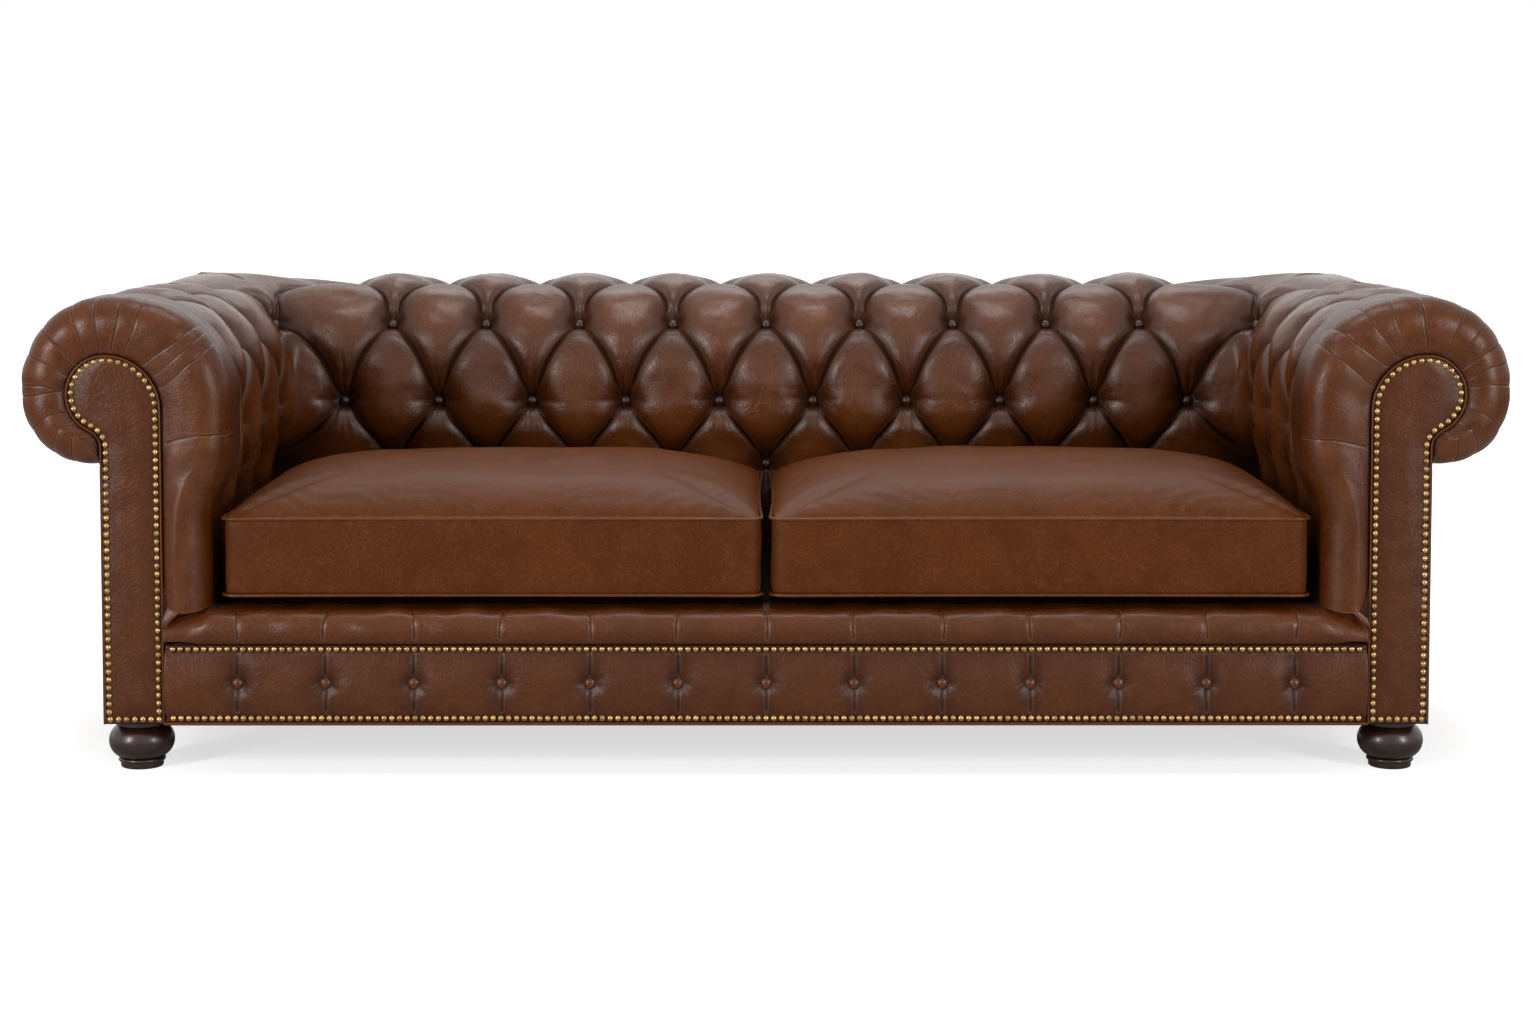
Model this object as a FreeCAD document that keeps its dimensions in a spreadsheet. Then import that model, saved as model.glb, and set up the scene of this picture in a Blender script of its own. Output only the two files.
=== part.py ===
import FreeCAD, Part
import math
import os
import re

Vector = FreeCAD.Vector
UP = Vector(0, 0, 1)
FORWARD = Vector(0, -1, 0)

# Driving dimensions in millimetres. X runs along the sofa, Y from front to back, Z up.
DRIVING = {
    "overall_length": 2300,
    "overall_depth": 950,
    "overall_height": 740,
    "foot_height": 77,
    "foot_across": 101,
    "foot_collar_across": 79,
    "foot_base_across": 66,
    "foot_centre_out": 980,
    "foot_set_in_front": 75,
    "foot_set_in_rear": 185,
    "inside_half_length": 828,
    "lower_face_set_out": 33,
    "lower_face_top": 385,
    "upper_face_bottom": 515,
    "roll_centre_up": 579,
    "roll_flat": 26,
    "roll_shoulder": 135,
    "roll_under": 105,
    "tack_line_out": 203,
    "pad_thickness": 46,
    "button_depth": 38,
    "crease_depth": 15,
    "pleat_depth": 7,
    "pillow_half": 62,
    "button_seat": 10,
    "low_row_up": 401,
    "second_row_up": 521,
    "third_row_angle": 38,
    "top_row_angle": 92,
    "columns_to_corner": 5,
    "columns_on_arm": 3,
    "rear_corner_radius": 165,
    "inside_corner_radius": 85,
    "corner_fill_out": 34,
    "corner_fill_start": 430,
    "corner_fill_full": 520,
    "mitre_gap_angle": 0.12,
    "cover_bottom": 236,
    "leather_panel": 8,
    "rail_thickness": 28,
    "rail_bottom": 79,
    "rail_top": 200,
    "top_rail_bottom": 486,
    "top_rail_top": 524,
    "top_rail_in": 105,
    "post_size": 50,
    "stay_post_width": 30,
    "facing_inner_out": 102,
    "facing_outer_out": 197,
    "facing_set_back": 12,
    "facing_head_up": 567,
    "facing_cheek_up": 590,
    "facing_cheek_radius": 62,
    "facing_neck_up": 507,
    "facing_neck_radius": 30,
    "band_edge_radius": 22,
    "front_board": 26,
    "lip_top": 259,
    "lip_bottom": 203,
    "lip_depth": 72,
    "lip_end_up": 230,
    "border_columns": 13,
    "border_pitch": 136.3,
    "border_button_up": 142,
    "border_padding": 7,
    "border_swell": 4,
    "border_pinch": 3,
    "border_margin": 20,
    "upper_nails_up": 196,
    "lower_nails_up": 88,
    "nail_head": 10.2,
    "nail_rise": 3.8,
    "nail_shank": 1.6,
    "nail_length": 12,
    "nail_pitch": 12.6,
    "border_nail_pitch": 12.1,
    "nail_inset": 9,
    "button_across": 20,
    "button_rise": 7,
    "piping_across": 4.8,
    "facing_piping_across": 3,
    "cushion_gap": 6,
    "cushion_side_out": 846,
    "cushion_set_back": 20,
    "cushion_depth": 635,
    "cushion_seam_low": 276,
    "cushion_seam_high": 397,
    "cushion_crown": 70,
    "cushion_sag": 15,
    "cushion_draw_in": 6,
    "cushion_corner": 20,
    "cushion_leather": 2.5,
    "cushion_fullness": 2.6,
    "spring_count": 9,
    "spring_spacing": 180,
    "spring_wire": 3.8,
    "spring_up": 209,
    "spring_legs": 30,
    "spring_reach": 16,
    "clip_length": 24,
    "clip_width": 16,
    "clip_height": 14,
    "stretcher_spacing": 420,
    "stretcher_size": 40,
    "stretcher_rise": 20,
    "block_size": 90,
    "block_height": 60,
    "bolt_across": 8,
    "bolt_length": 106,
    "bolt_in_foot": 36,
    "nut_flange_across": 24,
    "nut_flange": 1.6,
    "nut_barrel": 12,
    "hessian_thickness": 1.5,
    "strap_width": 50,
    "strap_thickness": 2,
    "back_strap_spacing": 200,
    "arm_strap_spacing": 160,
}

doc = FreeCAD.newDocument("chesterfield_sofa")
sheet = doc.addObject("Spreadsheet::Sheet", "dims")
for row, (alias, value) in enumerate(DRIVING.items(), start=1):
    sheet.set(f"A{row}", alias)
    sheet.set(f"B{row}", str(value))
    sheet.setAlias(f"B{row}", alias)
doc.recompute()

subparts = []


def mm(alias):
    """The value of a driving dimension."""
    return float(sheet.get(alias))


def bound(text):
    """An expression on the sheet, from words that are aliases of it."""
    return re.sub(r"[a-z][a-z_]+", lambda word: "dims." + word.group(), text)


FRONT = -mm("overall_depth") / 2
REAR = mm("overall_depth") / 2
INSIDE = mm("inside_half_length")
ROLL_OUT = mm("overall_length") / 2 - INSIDE
BACK_FACE = REAR - ROLL_OUT
ROLL = ROLL_OUT - mm("roll_flat") - mm("roll_shoulder")
PITCH = INSIDE / mm("columns_to_corner")
ARM_END = BACK_FACE - PITCH * mm("columns_on_arm")
FAN = PITCH / 2
FACING_Y = FRONT + mm("facing_set_back")
BOARD_Y = FACING_Y + mm("leather_panel")


def keep(label, shown):
    """Give a finished object its node name and list it for export."""
    shown.Label = label
    subparts.append(shown)
    return shown


def feature(label, shape):
    """A sub-part whose shape comes from Part's own functions."""
    made = doc.addObject("Part::Feature", label)
    made.Shape = shape
    made.Placement = FreeCAD.Placement()
    return keep(label, made)


def mirrored(label, source):
    """The same piece on the other side of the sofa."""
    copy = doc.addObject("Part::Mirroring", label)
    copy.Source = source
    copy.Normal = Vector(1, 0, 0)
    return keep(label, copy)


def board(name, corner, size):
    """A board from expressions for its low corner and its three sides."""
    box = doc.addObject("Part::Box", name)
    for side, text in zip(("Length", "Width", "Height"), size):
        box.setExpression(side, bound(text))
    for axis, text in zip("xyz", corner):
        box.setExpression("Placement.Base." + axis, bound(text))
    return box


def rod(name, base, across, length, direction=UP):
    """A round bar from expressions for its foot, diameter and length."""
    bar = doc.addObject("Part::Cylinder", name)
    bar.Placement.Rotation = FreeCAD.Rotation(UP, direction)
    bar.setExpression("Radius", bound(f"({across}) / 2"))
    bar.setExpression("Height", bound(length))
    for axis, text in zip("xyz", base):
        bar.setExpression("Placement.Base." + axis, bound(text))
    return bar


def group(label, pieces):
    """Separate solids that share one node."""
    together = doc.addObject("Part::Compound", label)
    together.Links = pieces
    return keep(label, together)


def drilled(name, block, bores):
    """A block with bores through it."""
    tool = doc.addObject("Part::Compound", name + "_bores")
    tool.Links = bores
    cut = doc.addObject("Part::Cut", name)
    cut.Base = block
    cut.Tool = tool
    return cut


# Outline of the roll, in (out, up) pairs: out from the inside face, up from the floor
class Line:
    """A straight stretch of an outline."""

    def __init__(self, start, end):
        self.start = start
        self.end = end
        self.length = math.dist(start, end)

    def at(self, distance):
        part = distance / self.length
        point = [a + (b - a) * part for a, b in zip(self.start, self.end)]
        step = [(b - a) / self.length for a, b in zip(self.start, self.end)]
        return point, (-step[1], step[0])


class Bend:
    """A round stretch of an outline. A positive turn is anticlockwise."""

    def __init__(self, centre, radius, start_angle, turn):
        self.centre = centre
        self.radius = radius
        self.start_angle = math.radians(start_angle)
        self.turn = math.radians(turn)
        self.length = radius * abs(self.turn)

    def at(self, distance):
        angle = self.start_angle + self.turn * distance / self.length
        ray = (math.cos(angle), math.sin(angle))
        point = [c + self.radius * r for c, r in zip(self.centre, ray)]
        side = -1 if self.turn > 0 else 1
        return point, (side * ray[0], side * ray[1])


class Outline:
    """Stretches in a row, read by the distance along them."""

    def __init__(self, stretches):
        self.stretches = stretches
        self.joints = [0.0]
        for stretch in stretches:
            self.joints.append(self.joints[-1] + stretch.length)

    def at(self, distance, rise=0.0):
        """The point at a distance along, moved outwards by a rise."""
        distance = min(max(distance, 0.0), self.joints[-1])
        index = len(self.stretches) - 1
        while index > 0 and distance < self.joints[index]:
            index -= 1
        point, normal = self.stretches[index].at(distance - self.joints[index])
        return (point[0] + rise * normal[0], point[1] + rise * normal[1])


def roll_outline():
    """The leather surface from the seat up the inside face and over the roll to the tack line."""
    low = mm("lower_face_set_out")
    low_top = mm("lower_face_top")
    high_bottom = mm("upper_face_bottom")
    rise = high_bottom - low_top
    lean = 2 * math.atan(low / rise)
    swing = rise / 2 / math.sin(lean)
    lean = math.degrees(lean)
    top = mm("overall_height")
    centre_up = mm("roll_centre_up")
    shoulder = mm("roll_shoulder")
    under = mm("roll_under")
    shoulder_out = ROLL_OUT - shoulder
    under_out = ROLL_OUT - under
    under_up = top - shoulder - 20
    tack = mm("tack_line_out")
    return Outline([
        Line((low, mm("cover_bottom")), (low, low_top)),
        Bend((low - swing, low_top), swing, 0, lean),
        Bend((swing, high_bottom), swing, 180 + lean, -lean),
        Line((0, high_bottom), (0, centre_up)),
        Bend((ROLL, centre_up), ROLL, 180, -90),
        Line((ROLL, top), (shoulder_out, top)),
        Bend((shoulder_out, top - shoulder), shoulder, 90, -90),
        Line((ROLL_OUT, top - shoulder), (ROLL_OUT, under_up)),
        Bend((under_out, under_up), under, 0, -90),
        Line((under_out, under_up - under), (tack, under_up - under)),
    ])


OUTLINE = roll_outline()
FACE_START, ROLL_START, ROLL_END = OUTLINE.joints[3], OUTLINE.joints[4], OUTLINE.joints[5]
LOW_ROW = mm("low_row_up") - mm("cover_bottom")
SECOND_ROW = FACE_START + mm("second_row_up") - mm("upper_face_bottom")
THIRD_ROW = ROLL_START + ROLL * math.radians(mm("third_row_angle"))
TOP_ROW = ROLL_START + ROLL * math.radians(mm("top_row_angle"))

# A plane across the roll turns an (out, up) pair into a point in space


def back_plane(along):
    return lambda out, up: Vector(along, BACK_FACE + out, up)


def arm_plane(along):
    return lambda out, up: Vector(INSIDE + out, along, up)


def share(value, start, end):
    """How far a value is from start to end, from 0 to 1."""
    return min(max((value - start) / (end - start), 0.0), 1.0)


def corner_radius(out, up):
    """Radius of the corner in plan: filled inside at the top of the pads, rounded off outside."""
    tack = mm("tack_line_out")
    inside = mm("inside_corner_radius") * share(up, mm("corner_fill_start"), mm("corner_fill_full"))
    inside *= share(out, 0, mm("corner_fill_out")) * share(out, tack, tack / 2)
    return inside + mm("rear_corner_radius") * share(out, tack, ROLL_OUT)


def corner_plane(angle, side=1):
    """A plane of the corner's fan, which starts half a pitch in from both faces."""
    turn = math.radians(angle)
    lean = math.cos(turn) + math.sin(turn)

    def place(out, up):
        radius = corner_radius(out, up)
        inner = FAN + out - radius
        reach = (FAN + out) / max(math.cos(turn), math.sin(turn))
        if reach * min(math.cos(turn), math.sin(turn)) > inner:
            reach = inner * lean + math.sqrt(radius ** 2 - inner ** 2 * (1 - math.sin(2 * turn)))
        along = INSIDE - FAN + reach * math.cos(turn)
        return Vector(side * along, BACK_FACE - FAN + reach * math.sin(turn), up)
    return place


def joined(plane, points):
    """Edges through an odd number of (out, up) points, an arc or line for each second point."""
    edges = []
    for index in range(0, len(points) - 2, 2):
        first, middle, last = [plane(*pair) for pair in points[index:index + 3]]
        straight = (middle - first).cross(last - first).Length < 0.5
        if straight:
            edges.append(Part.LineSegment(first, last).toShape())
        else:
            edges.append(Part.Arc(first, middle, last).toShape())
    return edges


ODD_COLUMN, CREASE_COLUMN, EVEN_COLUMN = 0, 1, 2


def pad_creases(column):
    """The sunk places of the pad in one plane, as (start, end, depth)."""
    seat = mm("button_seat")
    deep = mm("button_depth")
    if column == CREASE_COLUMN:
        rows = [(LOW_ROW + SECOND_ROW) / 2, (SECOND_ROW + THIRD_ROW) / 2, (THIRD_ROW + TOP_ROW) / 2]
        return [(place, place, mm("crease_depth")) for place in rows]
    rows = [LOW_ROW, THIRD_ROW] if column == ODD_COLUMN else [SECOND_ROW, TOP_ROW]
    return [(place - seat, place + seat, deep) for place in rows]


def pad_rise(distance, column):
    """Height of the pad's surface over the outline, zero on top of a pillow."""
    creases = pad_creases(column)
    below = [c for c in creases if c[1] <= distance]
    above = [c for c in creases if c[0] >= distance]
    if len(below) + len(above) < len(creases):
        return -creases[0][2]
    floor = 0.0
    if not below and column == ODD_COLUMN or not above and column == EVEN_COLUMN:
        floor = mm("pleat_depth")
    half = mm("pillow_half")
    if below and above:
        half = (above[0][0] - below[-1][1]) / 2
    gap = min([distance - c[1] for c in below] + [c[0] - distance for c in above])
    depth = creases[0][2] - floor
    bend = (half ** 2 + depth ** 2) / (2 * depth)
    left = max(half - gap, 0.0)
    return -floor - bend + math.sqrt(bend ** 2 - left ** 2)


def pad_knots(column):
    """Distances along the outline where the pad's edges meet, the same number in each plane."""
    seat = mm("button_seat")
    if column == ODD_COLUMN:
        creases = [LOW_ROW + seat, THIRD_ROW - seat, THIRD_ROW + seat]
    elif column == EVEN_COLUMN:
        creases = [SECOND_ROW - seat, SECOND_ROW + seat, TOP_ROW - seat]
    else:
        creases = [crease[0] for crease in pad_creases(column)]
    fixed = [0.0, LOW_ROW - seat] + creases + [TOP_ROW + seat]
    knots = [0.0]
    for start, end in zip(fixed[:-1], fixed[1:]):
        knots += [(start + end) / 2, end]
    return [knots[0]] + knots[2:] + OUTLINE.joints[6:]


def sampled(outline, knots, rise):
    """Outline points at the knots and halfway between them."""
    points = []
    for start, end in zip(knots[:-1], knots[1:]):
        middle = (start + end) / 2
        points += [outline.at(start, rise(start)), outline.at(middle, rise(middle))]
    return points + [outline.at(knots[-1], rise(knots[-1]))]


def pad_section(plane, column):
    """One closed section of a buttoned pad."""
    outer = sampled(OUTLINE, pad_knots(column), lambda distance: pad_rise(distance, column))
    inner_knots = [OUTLINE.joints[index] for index in (9, 8, 7, 6, 5, 4, 3, 1, 0)]
    inner = sampled(OUTLINE, inner_knots, lambda distance: -mm("pad_thickness"))
    tack = mm("tack_line_out")
    corner = (tack, inner[0][1])
    edges = joined(plane, outer)
    for start, end in ((outer[-1], corner), (corner, inner[0])):
        edges.append(Part.LineSegment(plane(*start), plane(*end)).toShape())
    edges += joined(plane, inner)
    edges.append(Part.LineSegment(plane(*inner[-1]), plane(*outer[0])).toShape())
    return Part.Wire(edges)


def column_at(quarter):
    """Kind of column for a count of quarter pitches from an odd column."""
    return {0: ODD_COLUMN, 2: EVEN_COLUMN}.get(quarter % 4, CREASE_COLUMN)


def ruled(wires):
    """A closed solid with straight lines from each section to the next."""
    return Part.makeLoft(wires, True, True)


# Buttoned pads of the back and the arms
MITRE = 45 + mm("mitre_gap_angle")
MIDWAY = 67.5


def back_pad():
    """The back between its mitres. A fan of planes takes the last half pitch at each end."""
    quarters = int(4 * mm("columns_to_corner"))
    fan = ((MITRE, ODD_COLUMN), (MIDWAY, CREASE_COLUMN))
    wires = [pad_section(corner_plane(angle, -1), column) for angle, column in fan]
    for quarter in range(2 - quarters, quarters - 1):
        wires.append(pad_section(back_plane(quarter * PITCH / 4), column_at(quarter + quarters)))
    wires += [pad_section(corner_plane(angle), column) for angle, column in fan[::-1]]
    return ruled(wires)


def arm_pad():
    wires = [pad_section(corner_plane(90 - MITRE), ODD_COLUMN),
             pad_section(corner_plane(90 - MIDWAY), CREASE_COLUMN)]
    for quarter in range(2, int(4 * mm("columns_on_arm")) + 1):
        wires.append(pad_section(arm_plane(BACK_FACE - quarter * PITCH / 4), column_at(quarter)))
    return ruled(wires)


feature("back_tufted_cover", back_pad())
right_arm_cover = feature("right_arm_tufted_cover", arm_pad())
mirrored("left_arm_tufted_cover", right_arm_cover)


# Firm foam rolls under the pads
def foam_section(plane):
    """The core of the roll, a millimetre inside the pad and resting on the top rail."""
    inset = mm("pad_thickness") + 1
    bottom = mm("top_rail_top") + 1
    joints = OUTLINE.joints
    knots = [joints[4], joints[5], joints[6], joints[7], joints[8], joints[9]]
    points = sampled(OUTLINE, knots, lambda distance: -inset)
    start = (points[0][0], bottom + 4)
    end = (points[-1][0] - 14, bottom + 4)
    edges = [Part.LineSegment(plane(*start), plane(*points[0])).toShape()]
    edges += joined(plane, points)
    edges.append(Part.LineSegment(plane(*points[-1]), plane(*end)).toShape())
    edges.append(Part.LineSegment(plane(*end), plane(*start)).toShape())
    return Part.Wire(edges)


back_planes = [corner_plane(MITRE, -1), corner_plane(MIDWAY, -1), back_plane(FAN - INSIDE),
               back_plane(INSIDE - FAN), corner_plane(MIDWAY), corner_plane(MITRE)]
feature("back_roll_foam", ruled([foam_section(plane) for plane in back_planes]))
arm_planes = [corner_plane(90 - MITRE), corner_plane(90 - MIDWAY),
              arm_plane(BACK_FACE - FAN), arm_plane(ARM_END + 1)]
right_foam = feature("right_arm_roll_foam", ruled([foam_section(plane) for plane in arm_planes]))
mirrored("left_arm_roll_foam", right_foam)


# Arm front: the facing's outline, drawn in by an inset
def facing_outline(inset):
    inner = mm("facing_inner_out") + inset
    outer = mm("facing_outer_out") - inset
    head_radius = (mm("facing_outer_out") - mm("facing_inner_out")) - 10
    head = (mm("facing_inner_out") + head_radius, mm("facing_head_up"))
    cheek = (head[0], mm("facing_cheek_up"))
    neck = (mm("facing_outer_out") + mm("facing_neck_radius"), mm("facing_neck_up"))
    slant = math.degrees(math.atan2(neck[1] - cheek[1], neck[0] - cheek[0]))
    bottom = mm("foot_height") + inset
    return Outline([
        Line((inner, bottom), (inner, head[1])),
        Bend(head, head_radius - inset, 180, -90),
        Bend(cheek, mm("facing_cheek_radius") - inset, 90, slant - 90),
        Bend(neck, mm("facing_neck_radius") + inset, slant + 180, -slant),
        Line((outer, neck[1]), (outer, bottom)),
    ])


def front_plane(depth):
    return lambda out, up: Vector(INSIDE + out, depth, up)


def facing_wire(inset, depth):
    """The closed outline of the facing in a plane across the front."""
    outline = facing_outline(inset)
    plane = front_plane(depth)
    edges = joined(plane, sampled(outline, outline.joints, lambda distance: 0.0))
    edges.append(Part.LineSegment(edges[-1].Vertexes[-1].Point, edges[0].Vertexes[0].Point).toShape())
    return Part.Wire(edges)


def facing_slab(inset, front, thickness):
    return Part.Face(facing_wire(inset, front)).extrude(Vector(0, thickness, 0))


right_board = feature("right_arm_front_board", facing_slab(3, BOARD_Y, mm("front_board")))
mirrored("left_arm_front_board", right_board)
right_facing = feature("right_facing_panel", facing_slab(0.5, FACING_Y, mm("leather_panel")))
mirrored("left_facing_panel", right_facing)


def band_section(depth, inset):
    """The padded band round the facing, from the seat lip over the roll to the tack line."""
    plane = front_plane(depth)
    foot = mm("lip_top") + 0.5 - mm("cover_bottom")
    outer = sampled(OUTLINE, [foot] + OUTLINE.joints[1:], lambda distance: -inset)
    facing = facing_outline(0)
    hole = sampled(facing, facing.joints[1:5], lambda distance: 0.0)[::-1]
    seam = (mm("facing_inner_out"), mm("lip_end_up") + 0.5)
    corner = (mm("facing_outer_out"), outer[-1][1])
    edges = joined(plane, outer)
    for start, end in ((outer[-1], corner), (corner, hole[0])):
        edges.append(Part.LineSegment(plane(*start), plane(*end)).toShape())
    edges += joined(plane, hole)
    for start, end in ((hole[-1], seam), (seam, outer[0])):
        edges.append(Part.LineSegment(plane(*start), plane(*end)).toShape())
    return Part.Wire(edges)


def front_band():
    """The front edge is rounded by a quarter circle in four straight steps."""
    bulge = mm("band_edge_radius")
    sections = [band_section(ARM_END, 0)]
    for step in range(5):
        turn = math.radians(step * 22.5)
        sections.append(band_section(FRONT + bulge * (1 - math.sin(turn)), bulge * (1 - math.cos(turn))))
    return ruled(sections)


right_band = feature("right_arm_front_band", front_band())
mirrored("left_arm_front_band", right_band)


# Domed heads: buttons and nails
def domed(across, rise, shank_across=0.0, shank_length=0.0):
    """A dome on the XY plane, pointing up, with a shank below it."""
    radius = across / 2
    points = [Vector(0, 0, 0), Vector(radius, 0, 0)]
    if shank_length:
        thin = shank_across / 2
        points = [Vector(0, 0, -shank_length), Vector(thin, 0, -shank_length), Vector(thin, 0, 0),
                  Vector(radius, 0, 0)]
    ball = (radius ** 2 + rise ** 2) / (2 * rise)
    half = math.asin(radius / ball) / 2
    middle = Vector(ball * math.sin(half), 0, rise - ball * (1 - math.cos(half)))
    top = Vector(0, 0, rise)
    edges = [Part.LineSegment(a, b).toShape() for a, b in zip(points[:-1], points[1:])]
    edges.append(Part.Arc(points[-1], middle, top).toShape())
    edges.append(Part.LineSegment(top, points[0]).toShape())
    return Part.Face(Part.Wire(edges)).revolve(Vector(0, 0, 0), UP, 360)


def placed(shape, point, direction):
    copy = shape.copy()
    copy.Placement = FreeCAD.Placement(point, FreeCAD.Rotation(UP, direction))
    return copy


BUTTON = domed(mm("button_across"), mm("button_rise"))
NAIL = domed(mm("nail_head"), mm("nail_rise"), mm("nail_shank"), mm("nail_length"))


def sunk_button(plane, row):
    """A button at the bottom of its pit, square to the outline."""
    base = plane(*OUTLINE.at(row, 1 - mm("button_depth")))
    return placed(BUTTON, base, plane(*OUTLINE.at(row)) - base)


def back_buttons():
    corner = mm("columns_to_corner")
    buttons = []
    for half in range(int(-2 * corner), int(2 * corner) + 1):
        rows = (LOW_ROW, THIRD_ROW) if half % 2 == 2 * corner % 2 else (SECOND_ROW, TOP_ROW)
        plane = back_plane(half * PITCH / 2)
        if abs(half) == 2 * corner:
            plane = corner_plane(45, math.copysign(1, half))
        buttons += [sunk_button(plane, row) for row in rows]
    return Part.makeCompound(buttons)


def arm_buttons():
    buttons = []
    for half in range(1, int(2 * mm("columns_on_arm")) + 1):
        rows = (SECOND_ROW, TOP_ROW) if half % 2 else (LOW_ROW, THIRD_ROW)
        plane = arm_plane(BACK_FACE - half * PITCH / 2)
        buttons += [sunk_button(plane, row) for row in rows]
    return Part.makeCompound(buttons)


feature("back_buttons", back_buttons())
right_buttons = feature("right_arm_buttons", arm_buttons())
mirrored("left_arm_buttons", right_buttons)


def facing_nails():
    wire = facing_wire(mm("nail_inset"), FACING_Y)
    count = round(wire.Length / mm("nail_pitch"))
    points = wire.discretize(Number=count + 1)[:-1]
    return Part.makeCompound([placed(NAIL, point, FORWARD) for point in points])


right_nails = feature("right_facing_nails", facing_nails())
mirrored("left_facing_nails", right_nails)


def piped(path, across, closed=False):
    """A round cord swept along a path."""
    start = path.OrderedEdges[0]
    centre = start.valueAt(start.FirstParameter)
    ring = Part.Wire(Part.makeCircle(across / 2, centre, start.tangentAt(start.FirstParameter)))
    return path.makePipeShell([ring], True, closed)


def facing_piping():
    """A cord round the open sides of each facing, just in front of its edge."""
    across = mm("facing_piping_across")
    outline = facing_outline(across / 2 + 0.2)
    plane = front_plane(FACING_Y - across / 2 - 0.1)
    path = Part.Wire(joined(plane, sampled(outline, outline.joints, lambda distance: 0.0)))
    right = piped(path, across)
    return Part.makeCompound([right.mirror(Vector(0, 0, 0), Vector(1, 0, 0)), right])


feature("facing_piping", facing_piping())

# Outside panels
SIDE_PANEL_X = "inside_half_length + tack_line_out - leather_panel"
BOARD_FRONT = "-overall_depth / 2 + facing_set_back + leather_panel"
BACK_PANEL_Y = "overall_depth / 2 - (overall_length / 2 - inside_half_length) + tack_line_out - leather_panel"
PANEL_HEIGHT = "top_rail_bottom - 6.5 - foot_height"
right_outside = keep("right_outside_panel", board(
    "right_outside_panel",
    (SIDE_PANEL_X, BOARD_FRONT, "foot_height"),
    ("leather_panel", f"({BACK_PANEL_Y}) - ({BOARD_FRONT})", PANEL_HEIGHT)))
mirrored("left_outside_panel", right_outside)
keep("outside_back_panel", board(
    "outside_back_panel",
    (f"-({SIDE_PANEL_X} + leather_panel)", BACK_PANEL_Y, "foot_height"),
    (f"2 * ({SIDE_PANEL_X} + leather_panel)", "leather_panel", PANEL_HEIGHT)))


# Front border and seat lip, quilted in columns
def column_stations(end):
    """Places along X: each column, halfway between columns, and both ends, as (x, at a column)."""
    pitch = mm("border_pitch")
    steps = int(mm("border_columns")) - 1
    places = [((half - steps) * pitch / 2, half % 2 == 0) for half in range(2 * steps + 1)]
    return [(-end, False)] + places + [(end, False)]


def side_plane(along):
    """A plane across the front rail: pairs are the depth and the height."""
    return lambda depth, up: Vector(along, depth, up)


def section_wire(plane, bends, corners):
    """Arcs through the bends, then straight lines through the corners and back."""
    edges = joined(plane, bends)
    points = [bends[-1]] + corners + [bends[0]]
    for start, end in zip(points[:-1], points[1:]):
        edges.append(Part.LineSegment(plane(*start), plane(*end)).toShape())
    return Part.Wire(edges)


def border_section(along, pinched):
    """The padded border swells between its edges and is pinched in at a button."""
    bottom, top = mm("rail_bottom"), mm("lip_bottom") - 1
    middle, margin = mm("border_button_up"), mm("border_margin")
    edge = BOARD_Y - mm("border_padding")
    swollen = edge - mm("border_swell")
    belly = edge + mm("border_pinch") if pinched else swollen
    bends = [(edge, bottom), (swollen, bottom + margin), (belly, middle),
             (swollen, top - margin), (edge, top)]
    return section_wire(side_plane(along), bends, [(BOARD_Y - 0.3, top), (BOARD_Y - 0.3, bottom)])


BORDER_END = INSIDE + mm("facing_inner_out") - 0.5
feature("front_border", ruled([border_section(*place) for place in column_stations(BORDER_END)]))


def lip_section(along, pinched):
    """A rounded edge that is drawn in by a few millimetres at each pleat."""
    bottom = mm("lip_bottom")
    squeeze = 1.0
    if abs(along) > BORDER_END - 1:
        squeeze = (mm("lip_end_up") - bottom) / (mm("lip_top") - bottom)
    draw = 4 if pinched else 0
    outline = [(8, 0), (draw, 10), (draw - 1, 23), (5 + 0.75 * draw, 42),
               (23, 53), (47, 55.6), (mm("lip_depth"), mm("lip_top") - bottom)]
    front = FRONT + 4
    bends = [(front + out, bottom + up * squeeze) for out, up in outline]
    ledge = BOARD_Y - 1
    corners = [(bends[-1][0], bottom + 13), (ledge, bottom + 13), (ledge, bottom)]
    return section_wire(side_plane(along), bends, corners)


def lip_stations():
    """The lip's ends slope down outside the arm's inside face."""
    shoulder = INSIDE + mm("lower_face_set_out")
    inner = column_stations(BORDER_END)[1:-1]
    ends = [(-BORDER_END, False), (-shoulder, False)]
    return ends + inner + [(shoulder, False), (BORDER_END, False)]


feature("seat_lip", ruled([lip_section(*place) for place in lip_stations()]))
border_piping = rod(
    "border_piping",
    ("-(inside_half_length + facing_inner_out)", f"({BOARD_FRONT}) - 10.4",
     "foot_height + piping_across / 2"),
    "piping_across", "2 * (inside_half_length + facing_inner_out)", Vector(1, 0, 0))
keep("border_piping", border_piping)


def border_buttons():
    steps = int(mm("border_columns")) - 1
    spots = [(step - steps / 2) * mm("border_pitch") for step in range(steps + 1)]
    height = mm("border_button_up")
    return Part.makeCompound([placed(BUTTON, Vector(x, BOARD_Y - 4.5, height), FORWARD) for x in spots])


def border_nails():
    end = BORDER_END - mm("nail_pitch")
    count = round(2 * end / mm("border_nail_pitch"))
    nails = []
    for height in (mm("lower_nails_up"), mm("upper_nails_up")):
        for index in range(count + 1):
            along = -end + 2 * end * index / count
            nails.append(placed(NAIL, Vector(along, BOARD_Y - 9.5, height), FORWARD))
    return Part.makeCompound(nails)


feature("border_buttons", border_buttons())
feature("border_nails", border_nails())

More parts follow.
